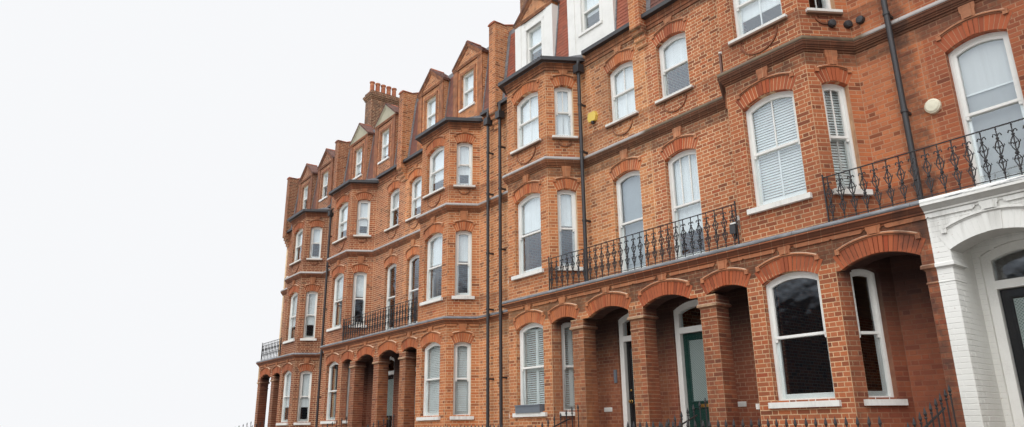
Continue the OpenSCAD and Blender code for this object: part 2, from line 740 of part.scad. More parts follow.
// Door frame with a fanlight over its transom, and the door that it carries on its party wall side
frame_y = 60;
door_frame_t = 130;
door_sunk = 12;
door_y = frame_y + door_frame_t - 5 - door_t;
door_foot = 10;
hinge_u = door_u - door_w / 2;
pin_u = hinge_u - door_gap;
pin_y = frame_y + door_frame_t + 0.3 + knuckle_r;
door_head_z = ground_z + door_foot + door_h + door_gap;
jamb_w = (doorway_w - door_w) / 2 - door_gap;
module door_frames() color("white") each_house() for (s = [-1, 1])
  translate([door_u + s * (doorway_w - jamb_w) / 2 - jamb_w / 2, frame_y, ground_z])
    cube([jamb_w, door_frame_t, door_head_z - ground_z]);

module fanlight_shape() arch_shape(doorway_w, door_head_z + transom_h, ground_z + spring_ground, jamb_w);
module fanlight_frames() color("white") each_house() translate([door_u, 0, 0])
  upright(frame_y, door_frame_t) difference() {
    arch_shape(doorway_w, door_head_z, ground_z + spring_ground);
    fanlight_shape();
  }
module fanlight_glass() translate([door_u, 0, 0])
  upright(frame_y + door_frame_t / 2, glass_t) fanlight_shape();

// Door with a tall sunk pane over a sunk panel, three hinge knuckles and a knob
module door_leaf() {
  stile = 130;
  lock_z = 980;
  kick = 220;
  z0 = ground_z + door_foot;
  difference() {
    translate([hinge_u, door_y, z0]) cube([door_w, door_t, door_h]);
    for (y = [door_y - eps, door_y + door_t - door_sunk]) {
      translate([hinge_u + stile, y, z0 + lock_z])
        cube([door_w - 2 * stile, door_sunk + eps, door_h - lock_z - stile]);
      translate([hinge_u + stile, y, z0 + kick])
        cube([door_w - 2 * stile, door_sunk + eps, lock_z - kick - stile]);
    }
  }
  for (z = [z0 + kick, z0 + door_h / 2, z0 + door_h - kick]) translate([pin_u, 0, z - 50]) {
    translate([0, pin_y, 0]) cylinder(r = knuckle_r, h = 100, $fn = 32);
    translate([0, door_y + door_t, 0]) cube([door_gap + 3, pin_y - door_y - door_t, 100]);
  }
  translate([hinge_u + door_w - stile / 2, door_y, z0 + lock_z + stile / 2]) rotate([90, 0, 0])
    cylinder(r = 28, h = 45, $fn = 32);
}
module door_1() color("darkgreen") in_house(0) door_leaf();
module door_2() color("black") in_house(1) door_leaf();
module door_3() color("black") in_house(2) door_leaf();
module door_4() color("black") in_house(3) door_leaf();
module door_5() color("darkgreen") in_house(4) door_leaf();
module door_6() color("black") in_house(5) door_leaf();

// Balcony rail: two flat rails joined by balusters with a ring and a knop
module baluster() difference() {
  union() {
    translate([-bar / 2, 0]) square([bar, rail_h + 40]);
    translate([0, rail_h * 0.55]) circle(r = ring_r, $fn = 32);
  }
  translate([0, rail_h * 0.55]) circle(r = ring_r - bar, $fn = 32);
}
module rail_run(len) upright(-bar / 2, bar) {
  n = max(1, round(len / baluster_gap));
  translate([0, rail_h - bar]) square([len, bar]);
  translate([0, 60]) square([len, bar]);
  for (k = [0 : n - 1]) translate([(k + 0.5) * len / n, 0]) baluster();
}
module balcony_rails() color("black") for (a = arcades) {
  x0 = arcade_x0(a) + (a[1] + a[3] == 0 ? party_t / 2 : 0);
  translate([x0, -bay_out - 50, first_z]) rail_run(arcade_x1(a) - x0);
}

// Flights of steps up to the porches: one between each pair of outer columns
rise = ground_z / risers;
tread_joint = 0.5;
function flight_x0(a) = a[1] == 1 ? a[0] - column_w - door_arch_w : a[0] - party_t / 2 + cheek_w;
function flight_x1(a) = a[0] + column_w + door_arch_w;
module entrance_steps() color("lightgray") for (a = arcades, k = [1 : risers - 1])
  translate([flight_x0(a), -bay_out - (risers - k) * going, 0])
    cube([flight_x1(a) - flight_x0(a), going - (k == risers - 1 ? 0 : tread_joint), k * rise]);

// Low sloping walls at the outer sides of each flight
function cheek_xs(a) = [flight_x0(a) - cheek_w, flight_x1(a)];
cheek_len = fence_out - bay_out - dwarf_t / 2;
// Level part at the head of such a wall, then the length of its slope
cheek_top = 150;
step_run = (risers - 1) * going;
module step_walls() color("lightgray") for (a = arcades, x = cheek_xs(a))
  translate([x, -bay_out, 0]) rotate([90, 0, 90]) linear_extrude(cheek_w)
    polygon([[0, 0], [0, ground_z], [-cheek_top, ground_z], [-step_run - cheek_top, dwarf_h],
      [-cheek_len, dwarf_h], [-cheek_len, 0]]);

// Height of the lower rail of a railing, of its spear heads, and of the bars above its upper rail
rail_low = 100;
spear_h = 80;
bar_end = 230;
// Drawing of a railing n bays long: bars with spear heads through two rails
module railing(len, n, h) {
  s = len / n;
  b = bar / 2;
  low = rail_low;
  high = h - bar_end;
  top = [for (k = [n : -1 : 0]) each [[k * s + b, high + bar], [k * s + b, h - spear_h], [k * s, h],
    [k * s - b, h - spear_h], [k * s - b, high + bar]]];
  outline = concat([[-b, 0], [b, 0], [b, low], [len - b, low], [len - b, 0], [len + b, 0]], top);
  holes = [for (k = [0 : n - 1]) each [[k * s + b, low + bar], [(k + 1) * s - b, low + bar],
    [(k + 1) * s - b, high], [k * s + b, high]]];
  m = len(outline);
  polygon(concat(outline, holes),
    concat([[for (i = [0 : m - 1]) i]], [for (k = [0 : n - 1]) [for (j = [0 : 3]) m + 4 * k + j]]));
}
step_slope = (ground_z - dwarf_h) / step_run;
// Railing on each of those walls: level on the porch side, then sloping, sheared along the steps
module step_rails() color("black") for (a = arcades, x = cheek_xs(a)) {
  n = round(step_run / (fence_gap * 1.25));
  translate([x + cheek_w / 2 - bar / 2, -bay_out - cheek_top, ground_z]) rotate([90, 0, 90])
    linear_extrude(bar) sloped_railing(step_run, n, fence_h * 0.88);
}
// Drawing of a railing that falls towards -x with the steps and stands on its two end bars
module sloped_railing(len, n, h) {
  s = len / n;
  b = bar / 2;
  low = rail_low;
  high = h - bar_end;
  g = step_slope;
  top = [for (k = [0 : n]) let (x = -k * s) each [[x + b, g * (x + b) + high + bar],
    [x + b, g * x + h - spear_h], [x, g * x + h], [x - b, g * x + h - spear_h],
    [x - b, g * (x - b) + high + bar]]];
  foot = g * (-len + b) + seat_gap;
  outline = concat([[-len - b, foot], [-len + b, foot], [-len + b, g * (-len + b) + low],
    [-b, g * -b + low], [-b, seat_gap], [b, seat_gap]], top);
  holes = [for (k = [0 : n - 1]) let (x0 = -(k + 1) * s + b, x1 = -k * s - b)
    each [[x0, g * x0 + low + bar], [x1, g * x1 + low + bar], [x1, g * x1 + high], [x0, g * x0 + high]]];
  m = len(outline);
  polygon(concat(outline, holes),
    concat([[for (i = [0 : m - 1]) i]], [for (k = [0 : n - 1]) [for (j = [0 : 3]) m + 4 * k + j]]));
}

// Low walls along the front, between the flights
fence_runs = [[cheek_xs(arcades[0])[1], cheek_xs(arcades[1])[0] + cheek_w],
  [cheek_xs(arcades[1])[1], cheek_xs(arcades[2])[0] + cheek_w],
  [cheek_xs(arcades[2])[1], cheek_xs(arcades[3])[0] + cheek_w],
  [cheek_xs(arcades[3])[1], line_x(houses) + party_t / 2]];
module front_dwarf_walls() color("lightgray") for (r = fence_runs)
  translate([r[0], -fence_out - dwarf_t / 2, 0]) cube([r[1] - r[0], dwarf_t, dwarf_h]);

fence_end = 100;
module front_railings() color("black") for (r = fence_runs) {
  len = r[1] - r[0] - 2 * fence_end;
  translate([r[0] + fence_end, -fence_out - bar / 2, dwarf_h]) upright(0, bar)
    railing(len, round(len / fence_gap), fence_h);
}

// Steep tiled slope at front and rear, cut round the dormers
module slope_shape() polygon([[0, attic_z], [slope_back, roof_z], [slope_back + slope_t, roof_z],
  [slope_t, attic_z]]);
module mansards() color("indianred") difference() {
  each_house() for (side = [0, 1]) translate([party_t / 2, side * depth, 0]) scale([1, 1 - 2 * side, 1])
    rotate([90, 0, 90]) linear_extrude(house_w - party_t) slope_shape();
  each_dormer() upright(-eps, slope_back + slope_t + 2 * eps) {
    translate([-dormer_w / 2, attic_z - eps]) square([dormer_w, dormer_eaves + 2 * eps]);
    polygon(dormer_cap());
  }
}

// Children stand with their face on the wall line, at each front and rear dormer
module each_dormer() each_house() for (side = [0, 1], s = [-1, 1])
  translate([house_w / 2 + s * dormer_u, side * depth, 0]) scale([1, 1 - 2 * side, 1]) children();

// Half outline of the gable of a dormer, moved out by e along its slopes
dormer_base_z = attic_z + dormer_eaves;
gable_k = gable_h / (dormer_w / 2);
function gable_half(e, over) = let (up = e * norm([1, gable_k]))
  [[dormer_w / 2 + over, dormer_base_z - over * gable_k + up], [0, dormer_base_z + gable_h + up]];
// Outline of the roof of a dormer, closed below
function dormer_cap() = let (h = gable_half(dormer_roof_t, dormer_over), low = gable_half(0, dormer_over))
  [low[0], h[0], h[1], [-h[0][0], h[0][1]], [-low[0][0], low[0][1]]];
function dormer_outline() = [[-dormer_w / 2, attic_z], [dormer_w / 2, attic_z],
  [dormer_w / 2, dormer_base_z], [0, dormer_base_z + gable_h], [-dormer_w / 2, dormer_base_z]];
dormer_level = [attic_z + dormer_sill, attic_z + dormer_sill + dormer_win_h];

// Brick front and cheeks of a dormer
module dormers() color("chocolate") each_dormer() difference() {
  room = dormer_w / 2 - cheek_t;
  upright(0, slope_back + slope_t) polygon(dormer_outline());
  upright(dormer_t, slope_back + slope_t) translate([-room, attic_z - eps])
    square([2 * room, dormer_eaves - cheek_t]);
  upright(-eps, dormer_t + 2 * eps) translate([-dormer_win_w / 2, dormer_level[0]])
    square([dormer_win_w, dormer_win_h]);
}

// Gabled roof of a dormer, run back over the flat roof
module dormer_roofs() color("indianred") each_dormer()
  upright(-dormer_over, slope_back + slope_t + dormer_over) difference() {
    polygon(dormer_cap());
    polygon([for (p = gable_half(0, dormer_over + eps)) p, [-dormer_w / 2 - dormer_over - eps,
      dormer_base_z - (dormer_over + eps) * gable_k], [-dormer_w, attic_z], [dormer_w, attic_z]]);
  }

module attic_windows() color("white") each_dormer() dormer_window();
module dormer_panes() {
  z0 = dormer_level[0];
  inner = dormer_win_w - 2 * frame_w;
  for (z = [z0 + frame_w, z0 + dormer_win_h / 2 + sash_w / 2])
    translate([-inner / 2, z]) square([inner, dormer_win_h / 2 - frame_w - sash_w / 2]);
}
module dormer_window() upright(dormer_reveal, frame_t) difference() {
  translate([-dormer_win_w / 2, dormer_level[0]]) square([dormer_win_w, dormer_win_h]);
  dormer_panes();
}
module dormer_glass() upright(dormer_reveal + frame_t / 2, glass_t) dormer_panes();

// Lead roof of a bay, sloping up to the attic floor level
module bay_roofs() color("slategray") intersection() {
  bay_prisms(roof_edge, bay_top_z, attic_z);
  each_house() rotate([90, 0, 90]) linear_extrude(house_w) polygon([[-bay_out - roof_edge - eps, bay_top_z],
    [0, bay_top_z], [0, attic_z], [-bay_out - roof_edge - eps, bay_top_z + roof_edge / 3]]);
}

module flat_roofs() color("gray") difference() {
  each_house() translate([party_t / 2, slope_back, roof_z])
    cube([house_w - party_t, depth - 2 * slope_back, roof_t]);
  each_dormer() upright(-eps, slope_back + slope_t + eps) polygon(dormer_cap());
}

// Chimney stacks on the party walls between bays
stack_lines = [1, 3, 5];
module stack_block(o, z, h) translate([-stack_w / 2 - o, -stack_d / 2 - o, z])
  cube([stack_w + 2 * o, stack_d + 2 * o, h]);
module chimney_stacks() color("chocolate") for (i = stack_lines)
  translate([line_x(i), stack_y + stack_d / 2, upstand_z + coping_t]) {
    stack_block(0, 0, stack_h - 5 * stack_course);
    for (k = [1 : 3]) stack_block(k * stack_corbel, stack_h - (6 - k) * stack_course, stack_course);
    stack_block(stack_corbel, stack_h - 2 * stack_course, 2 * stack_course);
  }
module chimney_pots() color("peru") for (i = stack_lines, k = [0 : pots - 1])
  translate([line_x(i), stack_y + stack_d * (k + 0.5) / pots, upstand_z + coping_t + stack_h])
    rotate_extrude($fn = 32) polygon([[pot_bore, 0], [pot_r, 0], [pot_r, pot_h * 0.11],
      [pot_r * 0.8, pot_h * 0.16], [pot_r * 0.74, pot_h * 0.84], [pot_r * 0.92, pot_h * 0.89],
      [pot_r * 0.92, pot_h], [pot_bore, pot_h]]);

module gutter_ring(e) {
  difference() {
    bay_prisms(e + gutter_w, bay_top_z, bay_top_z + gutter_h);
    bay_prisms(e, bay_top_z - eps, bay_top_z + gutter_h + eps);
    difference() {
      bay_prisms(e + gutter_w - gutter_t, bay_top_z + gutter_t, bay_top_z + gutter_h + eps);
      bay_prisms(e + gutter_t, bay_top_z, bay_top_z + gutter_h + eps);
    }
  }
}
module gutter_section() difference() {
  translate([-gutter_w, 0]) square([gutter_w, gutter_h]);
  translate([-gutter_w + gutter_t, gutter_t]) square([gutter_w - 2 * gutter_t, gutter_h]);
}
module gutter_run(u0, u1, y) translate([u0, y, eaves_z]) rotate([90, 0, 90])
  linear_extrude(u1 - u0) gutter_section();
module gutters() color("black") {
  gutter_ring(roof_edge);
  clear = side_x(0, roof_edge + gutter_w) + gutter_t;
  each_house() {
    gutter_run(party_t / 2 + seat_gap, bay_u - clear, -eaves_band_out);
    gutter_run(bay_u + clear, house_w - party_t / 2 - seat_gap, -eaves_band_out);
    gutter_run(party_t / 2 + seat_gap, house_w - party_t / 2 - seat_gap, depth + gutter_w);
  }
}

// Downpipe at u from z0 up to a gutter at z1, with a hopper near its head and collars with holdfasts
pipe_y = -cornice_out - lead_out - pipe_r - collar_out;
collar_zs = [ground_z, (ground_z + first_z) / 2, first_z + 2 * pipe_r, (first_z + second_z) / 2,
  second_z + 2 * pipe_r, (second_z + eaves_z) / 2];
module downpipe(u, z0, z1) translate([u, pipe_y, 0]) {
  translate([0, 0, z0]) cylinder(r = pipe_r, h = z1 - z0, $fn = 32);
  translate([-hopper_w / 2, -hopper_w / 2, eaves_z - eaves_band_h - hopper_h])
    cube([hopper_w, hopper_w, hopper_h]);
  for (z = collar_zs) if (z > z0) translate([0, 0, z]) {
    cylinder(r = pipe_r + collar_out, h = pipe_r, $fn = 32);
    translate([-pipe_r / 2, 0, 0]) cube([pipe_r, -pipe_y, pipe_r]);
  }
}
// House with one more pipe, down to the balcony at the inner corner of its bay
corner_pipe_house = 3;
module downpipes() color("black") {
  for (i = [0 : houses - 1]) in_house(i)
    downpipe(house_w - party_t / 2 - 2 * hopper_w / 3, i == far_house ? first_z : 0, eaves_z);
  in_house(corner_pipe_house)
    downpipe(bay_u - root_half - hopper_w * 0.65, first_z, bay_top_z);
}

place() party_walls();
place() plinth_walls();
place() door_side_walls();
place() upper_front_walls();
place() bay_front_walls();
place() bay_side_walls();
place() bay_flank_walls();
place() rear_walls();
place() floors();
place() porch_floors();
place() porch_plinths();
place() porch_columns();
place() porch_arches();
place() balcony_decks();
place() ground_cornice();
place() brick_strings();
place() lead_flashings();
place() brick_arches();
place() hood_moulds();
place() window_sills();
place() swags();
place() front_windows();
place() attic_windows();
place() rear_windows();
place() window_glass();
place() door_frames();
place() fanlight_frames();
place() balcony_rails();
place() entrance_steps();
place() step_walls();
place() step_rails();
place() front_dwarf_walls();
place() front_railings();
place() mansards();
place() dormers();
place() dormer_roofs();
place() bay_roofs();
place() flat_roofs();
place() party_copings();
place() chimney_stacks();
place() chimney_pots();
place() gutters();
place() downpipes();
place() door_1();
place() door_2();
place() door_3();
place() door_4();
place() door_5();
place() door_6();
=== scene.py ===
"""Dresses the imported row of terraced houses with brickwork, joinery, ironwork, tiles, lights and a camera."""
import logging
import math
import random
from dataclasses import dataclass, field, replace
from enum import Enum
from typing import Iterable, Sequence

import bpy
from mathutils import Matrix, Vector


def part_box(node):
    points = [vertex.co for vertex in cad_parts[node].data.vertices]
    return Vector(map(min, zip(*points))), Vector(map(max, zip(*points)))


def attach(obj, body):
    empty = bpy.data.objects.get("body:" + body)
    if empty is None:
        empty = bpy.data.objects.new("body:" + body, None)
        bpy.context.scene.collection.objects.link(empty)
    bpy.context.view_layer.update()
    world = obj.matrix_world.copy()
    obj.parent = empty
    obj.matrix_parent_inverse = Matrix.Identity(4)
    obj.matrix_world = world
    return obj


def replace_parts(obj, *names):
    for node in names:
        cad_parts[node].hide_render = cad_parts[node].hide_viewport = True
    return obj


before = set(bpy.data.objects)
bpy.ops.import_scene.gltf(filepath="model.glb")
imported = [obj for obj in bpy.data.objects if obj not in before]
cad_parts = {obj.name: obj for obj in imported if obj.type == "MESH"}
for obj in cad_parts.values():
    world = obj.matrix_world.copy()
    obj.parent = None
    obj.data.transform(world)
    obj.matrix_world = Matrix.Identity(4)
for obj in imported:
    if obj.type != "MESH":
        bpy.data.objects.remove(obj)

LOG = logging.getLogger("terrace")
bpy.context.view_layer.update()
BODY = "house_row"
Point = tuple[float, float]
Colour = tuple[float, float, float, float]
Socket = bpy.types.NodeSocket
Value = "float | tuple | Socket"


def shade(red: int, green: int, blue: int) -> Colour:
    """Turns a paint colour on a 0 to 255 scale into the linear colour that shaders take.

    Args:
        red: Share of red.
        green: Share of green.
        blue: Share of blue.

    Returns:
        The linear colour with full cover.
    """
    shares = [c / 255 for c in (red, green, blue)]
    linear = [c / 12.92 if c <= 0.04 else ((c + 0.055) / 1.055) ** 2.4 for c in shares]
    return linear[0], linear[1], linear[2], 1.0


class Use(Enum):
    """What an opening in a wall is for."""

    WINDOW = "a window with sliding sashes"
    DOOR = "a front door"
    ARCH = "an open arch"


@dataclass(frozen=True)
class Opening:
    """An opening with a segmental head, drawn on a wall face."""

    mid: float
    width: float
    foot: float
    spring: float
    ring: float = 0.25
    use: Use = Use.WINDOW
    storey: int = 0

    @property
    def rise(self) -> float:
        """Height of the head over its springing."""
        return self.width * ROW.arch_rise

    @property
    def radius(self) -> float:
        """Radius of the head."""
        return self.width * (0.25 + ROW.arch_rise**2) / (2 * ROW.arch_rise)

    @property
    def centre_z(self) -> float:
        """Height of the centre of the head's arc."""
        return self.spring + self.rise - self.radius

    @property
    def half_angle(self) -> float:
        """Angle from the crown to a springing, in radians."""
        return math.asin(self.width / 2 / self.radius)

    def outline(self, low: float, inset: float = 0.0, steps: int = 10) -> list[Point]:
        """Draws the opening anticlockwise from a level up to its head.

        Args:
            low: Level of the foot of the drawing.
            inset: How far it is moved in at its sides and head.
            steps: Number of stretches in the head.

        Returns:
            The corners.
        """
        half = self.width / 2 - inset
        radius = self.radius - inset
        reach = math.asin(half / radius)
        head = [reach - 2 * reach * k / steps for k in range(steps + 1)]
        arc = [(self.mid + radius * math.sin(a), self.centre_z + radius * math.cos(a)) for a in head]
        return [(self.mid - half, low), (self.mid + half, low), *arc]

    def half_opening(self, z: float) -> float:
        """Gives half the clear width of the opening at one height.

        Args:
            z: Height over the ground.

        Returns:
            Half the width.
        """
        if z <= self.spring:
            return self.width / 2
        return math.sqrt(max(self.radius**2 - (z - self.centre_z) ** 2, 0.0))

    def half_width(self, z: float) -> float:
        """Gives how far the opening and its brick arch reach from their middle at one height.

        Args:
            z: Height over the ground.

        Returns:
            Half the width that facing bricks leave free, or 0 above and below it.
        """
        if z < self.foot or z > self.spring + self.rise + self.ring:
            return 0.0
        if z <= self.spring:
            return self.width / 2
        up = z - self.centre_z
        outer = math.sqrt(max((self.radius + self.ring) ** 2 - up**2, 0.0))
        return min(outer, up * math.tan(self.half_angle)) if self.ring else outer


@dataclass(frozen=True)
class WallFace:
    """A flat upright stretch of wall, seen from outside with its start at the left."""

    house: int
    start: Point
    end: Point
    low: float
    high: float
    openings: tuple[Opening, ...] = ()
    skips: tuple[Point, ...] = ()

    @property
    def length(self) -> float:
        """Length of the face."""
        return math.dist(self.start, self.end)

    @property
    def turn(self) -> float:
        """Turn of the face about the upright axis, in radians."""
        return math.atan2(self.end[1] - self.start[1], self.end[0] - self.start[0])

    def place(self) -> Matrix:
        """Gives the face's own frame: x along it, y into the wall, z up."""
        return Matrix.Translation((*self.start, 0)) @ Matrix.Rotation(self.turn, 4, "Z")

    def free_spans(self, z: float) -> list[Point]:
        """Gives the stretches of the face that one course of bricks may fill.

        Args:
            z: Height of the middle of the course.

        Returns:
            Start and end of each stretch, along the face.
        """
        spans = [(0.0, self.length)]
        for hole in self.openings:
            half = hole.half_width(z)
            if half > 0:
                left, right = hole.mid - half, hole.mid + half
                cut = [[(a, min(b, left)), (max(a, right), b)] for a, b in spans]
                spans = [(a, b) for pair in cut for a, b in pair if b - a > 0.03]
        return spans


@dataclass(frozen=True)
class Row:
    """Sizes that the dressing shares with the part, in metres, and the places worked out from them."""

    house_w: float = 5.78
    party_t: float = 0.33
    depth: float = 9.6
    ground_z: float = 1.0
    first_z: float = 4.59
    second_z: float = 7.97
    attic_z: float = 10.87
    roof_z: float = 13.2
    eaves_z: float = 10.72
    bay_top_z: float = 10.6
    upstand_z: float = 13.68
    bay_u: float = 3.48
    bay_face_w: float = 1.64
    bay_root_w: float = 2.6
    bay_out: float = 0.81
    face_win_w: float = 1.04
    side_win_w: float = 0.48
    flat_win_w: float = 0.86
    door_u: float = 0.8
    doorway_w: float = 1.1
    door_w: float = 0.84
    door_h: float = 2.32
    spring_ground: float = 3.83
    arch_rise: float = 0.13
    arch_ring: float = 0.25
    column_w: float = 0.4
    door_arch_w: float = 1.18
    side_arch_w: float = 0.88
    far_arch_w: float = 1.18
    deck_t: float = 0.09
    cornice_h: float = 0.16
    slope_back: float = 0.26
    dormer_paint_h: float = 2.13
    course: float = 0.0762
    stretcher: float = 0.225
    header: float = 0.1125
    bay_right: tuple[int, ...] = (1, 0, 1, 0, 1, 1)

    @property
    def front(self) -> float:
        """Depth of the main front wall face."""
        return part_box("upper_front_walls")[0].y

    @property
    def bay_front(self) -> float:
        """Depth of the faces of the bays and of the arcade."""
        return self.front - self.bay_out

    @property
    def houses(self) -> range:
        """Numbers of the houses, from left to right."""
        return range(len(self.bay_right))

    def line(self, house: int) -> float:
        """Gives the party line on the left of a house."""
        return (house - len(self.bay_right) / 2) * self.house_w

    def across(self, house: int, u: float) -> float:
        """Gives the place along the row that lies u from a house's door side party line."""
        return self.line(house) + u if self.bay_right[house] else self.line(house + 1) - u

    def bay_mid(self, house: int) -> float:
        """Gives the middle of a house's bay."""
        return self.across(house, self.bay_u)

    def is_porch_side(self, house: int, side: int) -> bool:
        """Tells whether the arcade meets a bay at its left (-1) or right (1) side."""
        return house == NEAR_HOUSE or side == (-1 if self.bay_right[house] else 1)

    def corners(self, house: int, side: int) -> list[Point]:
        """Gives the corners of a bay at one side.

        Args:
            house: Number of its house.
            side: -1 for its left, 1 for its right.

        Returns:
            The corner of its face, then that of its root.
        """
        mid = self.bay_mid(house)
        face = (mid + side * self.bay_face_w / 2, self.bay_front)
        return [face, (mid + side * self.bay_root_w / 2, self.front)]

    def band(self, ground: bool) -> list[Point]:
        """Gives the path of a band along the whole front, from left to right.

        Args:
            ground: True for the path that runs along the arcade, False for the one over it.

        Returns:
            The corners of the path.
        """
        half = self.party_t / 2
        level = self.bay_front if ground else self.front
        path = [(self.line(0) - half, level)]
        for house in self.houses:
            if not (ground and self.is_porch_side(house, -1)):
                path += self.corners(house, -1)[::-1]
            if not (ground and self.is_porch_side(house, 1)):
                path += self.corners(house, 1)
        return [*path, (self.line(len(self.bay_right)) + half, self.front)]

    @property
    def porches(self) -> list[Point]:
        """Gives the runs of porches, with the balconies over them.

        Returns:
            Left and right end of each run.
        """
        ends = []
        for house in self.houses:
            near, far = self.across(house, 0), self.across(house, self.bay_u - self.bay_face_w / 2)
            ends.append(tuple(sorted((near, far))))
        ends.append((self.bay_mid(NEAR_HOUSE) + self.bay_face_w / 2, self.line(NEAR_HOUSE + 1)))
        ends.sort()
        joined = [ends[0]]
        for left, right in ends[1:]:
            if abs(left - joined[-1][1]) < 0.01:
                joined[-1] = (joined[-1][0], right)
            else:
                joined.append((left, right))
        return joined

# Houses by number from the left, from 0: pale painted dormers, stone rakes on the dormers, the nearest whole
# one, which has porch arches at both sides of its bay, and the one with the painted porch
PALE_DORMER_HOUSE = 3
STONE_DORMER_HOUSE = 1
NEAR_HOUSE = 4
PAINTED_HOUSE = 5
ROW = Row()
# Foot and springing of the windows of the bays, and of those in the flat walls
BAY_LEVELS = ((ROW.ground_z + 0.87, ROW.spring_ground), (ROW.first_z + 0.6, ROW.first_z + 2.52),
              (ROW.second_z + 0.59, ROW.second_z + 1.96))
FLAT_LEVELS = ((ROW.first_z + 0.25, ROW.first_z + 2.52), BAY_LEVELS[2])
# Heights that the ground cornice and the string cover, where no facing brick is laid
CORNICE_SKIP = (ROW.first_z - ROW.deck_t - ROW.cornice_h + 0.06, ROW.first_z)
STRING_SKIP = (ROW.second_z - 0.22, ROW.second_z)
# Ends of the painted porch along the row
PAINT_FROM = ROW.line(PAINTED_HOUSE) - 0.03
PAINT_TO = ROW.bay_mid(PAINTED_HOUSE) - ROW.bay_face_w / 2
# Top and height of each frieze under a band, darkened with dirt and painted shade
SHADED_STAINED_FRIEZES = ((CORNICE_SKIP[0], 0.46), (STRING_SKIP[0], 0.3), (ROW.eaves_z - 0.2, 0.22))
BRICKS_BY_HOUSE = ((154, 94, 66), (184, 116, 80), (212, 140, 92), (214, 146, 98), (194, 120, 80),
                   (172, 98, 64))
TILES_BY_HOUSE = ((112, 88, 80), (132, 96, 84), (138, 100, 92), (186, 112, 88), (118, 96, 92), (118, 96, 92))
# Factors for the colour of single bricks, from the rarest dark to the rarest red ones
BRICK_SPREAD = ((0.0, shade(150, 132, 126)), (0.1, shade(196, 178, 170)), (0.3, shade(236, 226, 220)),
                (0.7, shade(255, 252, 246)), (0.92, shade(255, 240, 214)), (1.0, shade(226, 178, 160)))
MORTAR = shade(238, 208, 168)
OLD_MORTAR = shade(206, 176, 140)
RED_MORTAR = shade(168, 112, 82)
PAINT = shade(232, 231, 226)


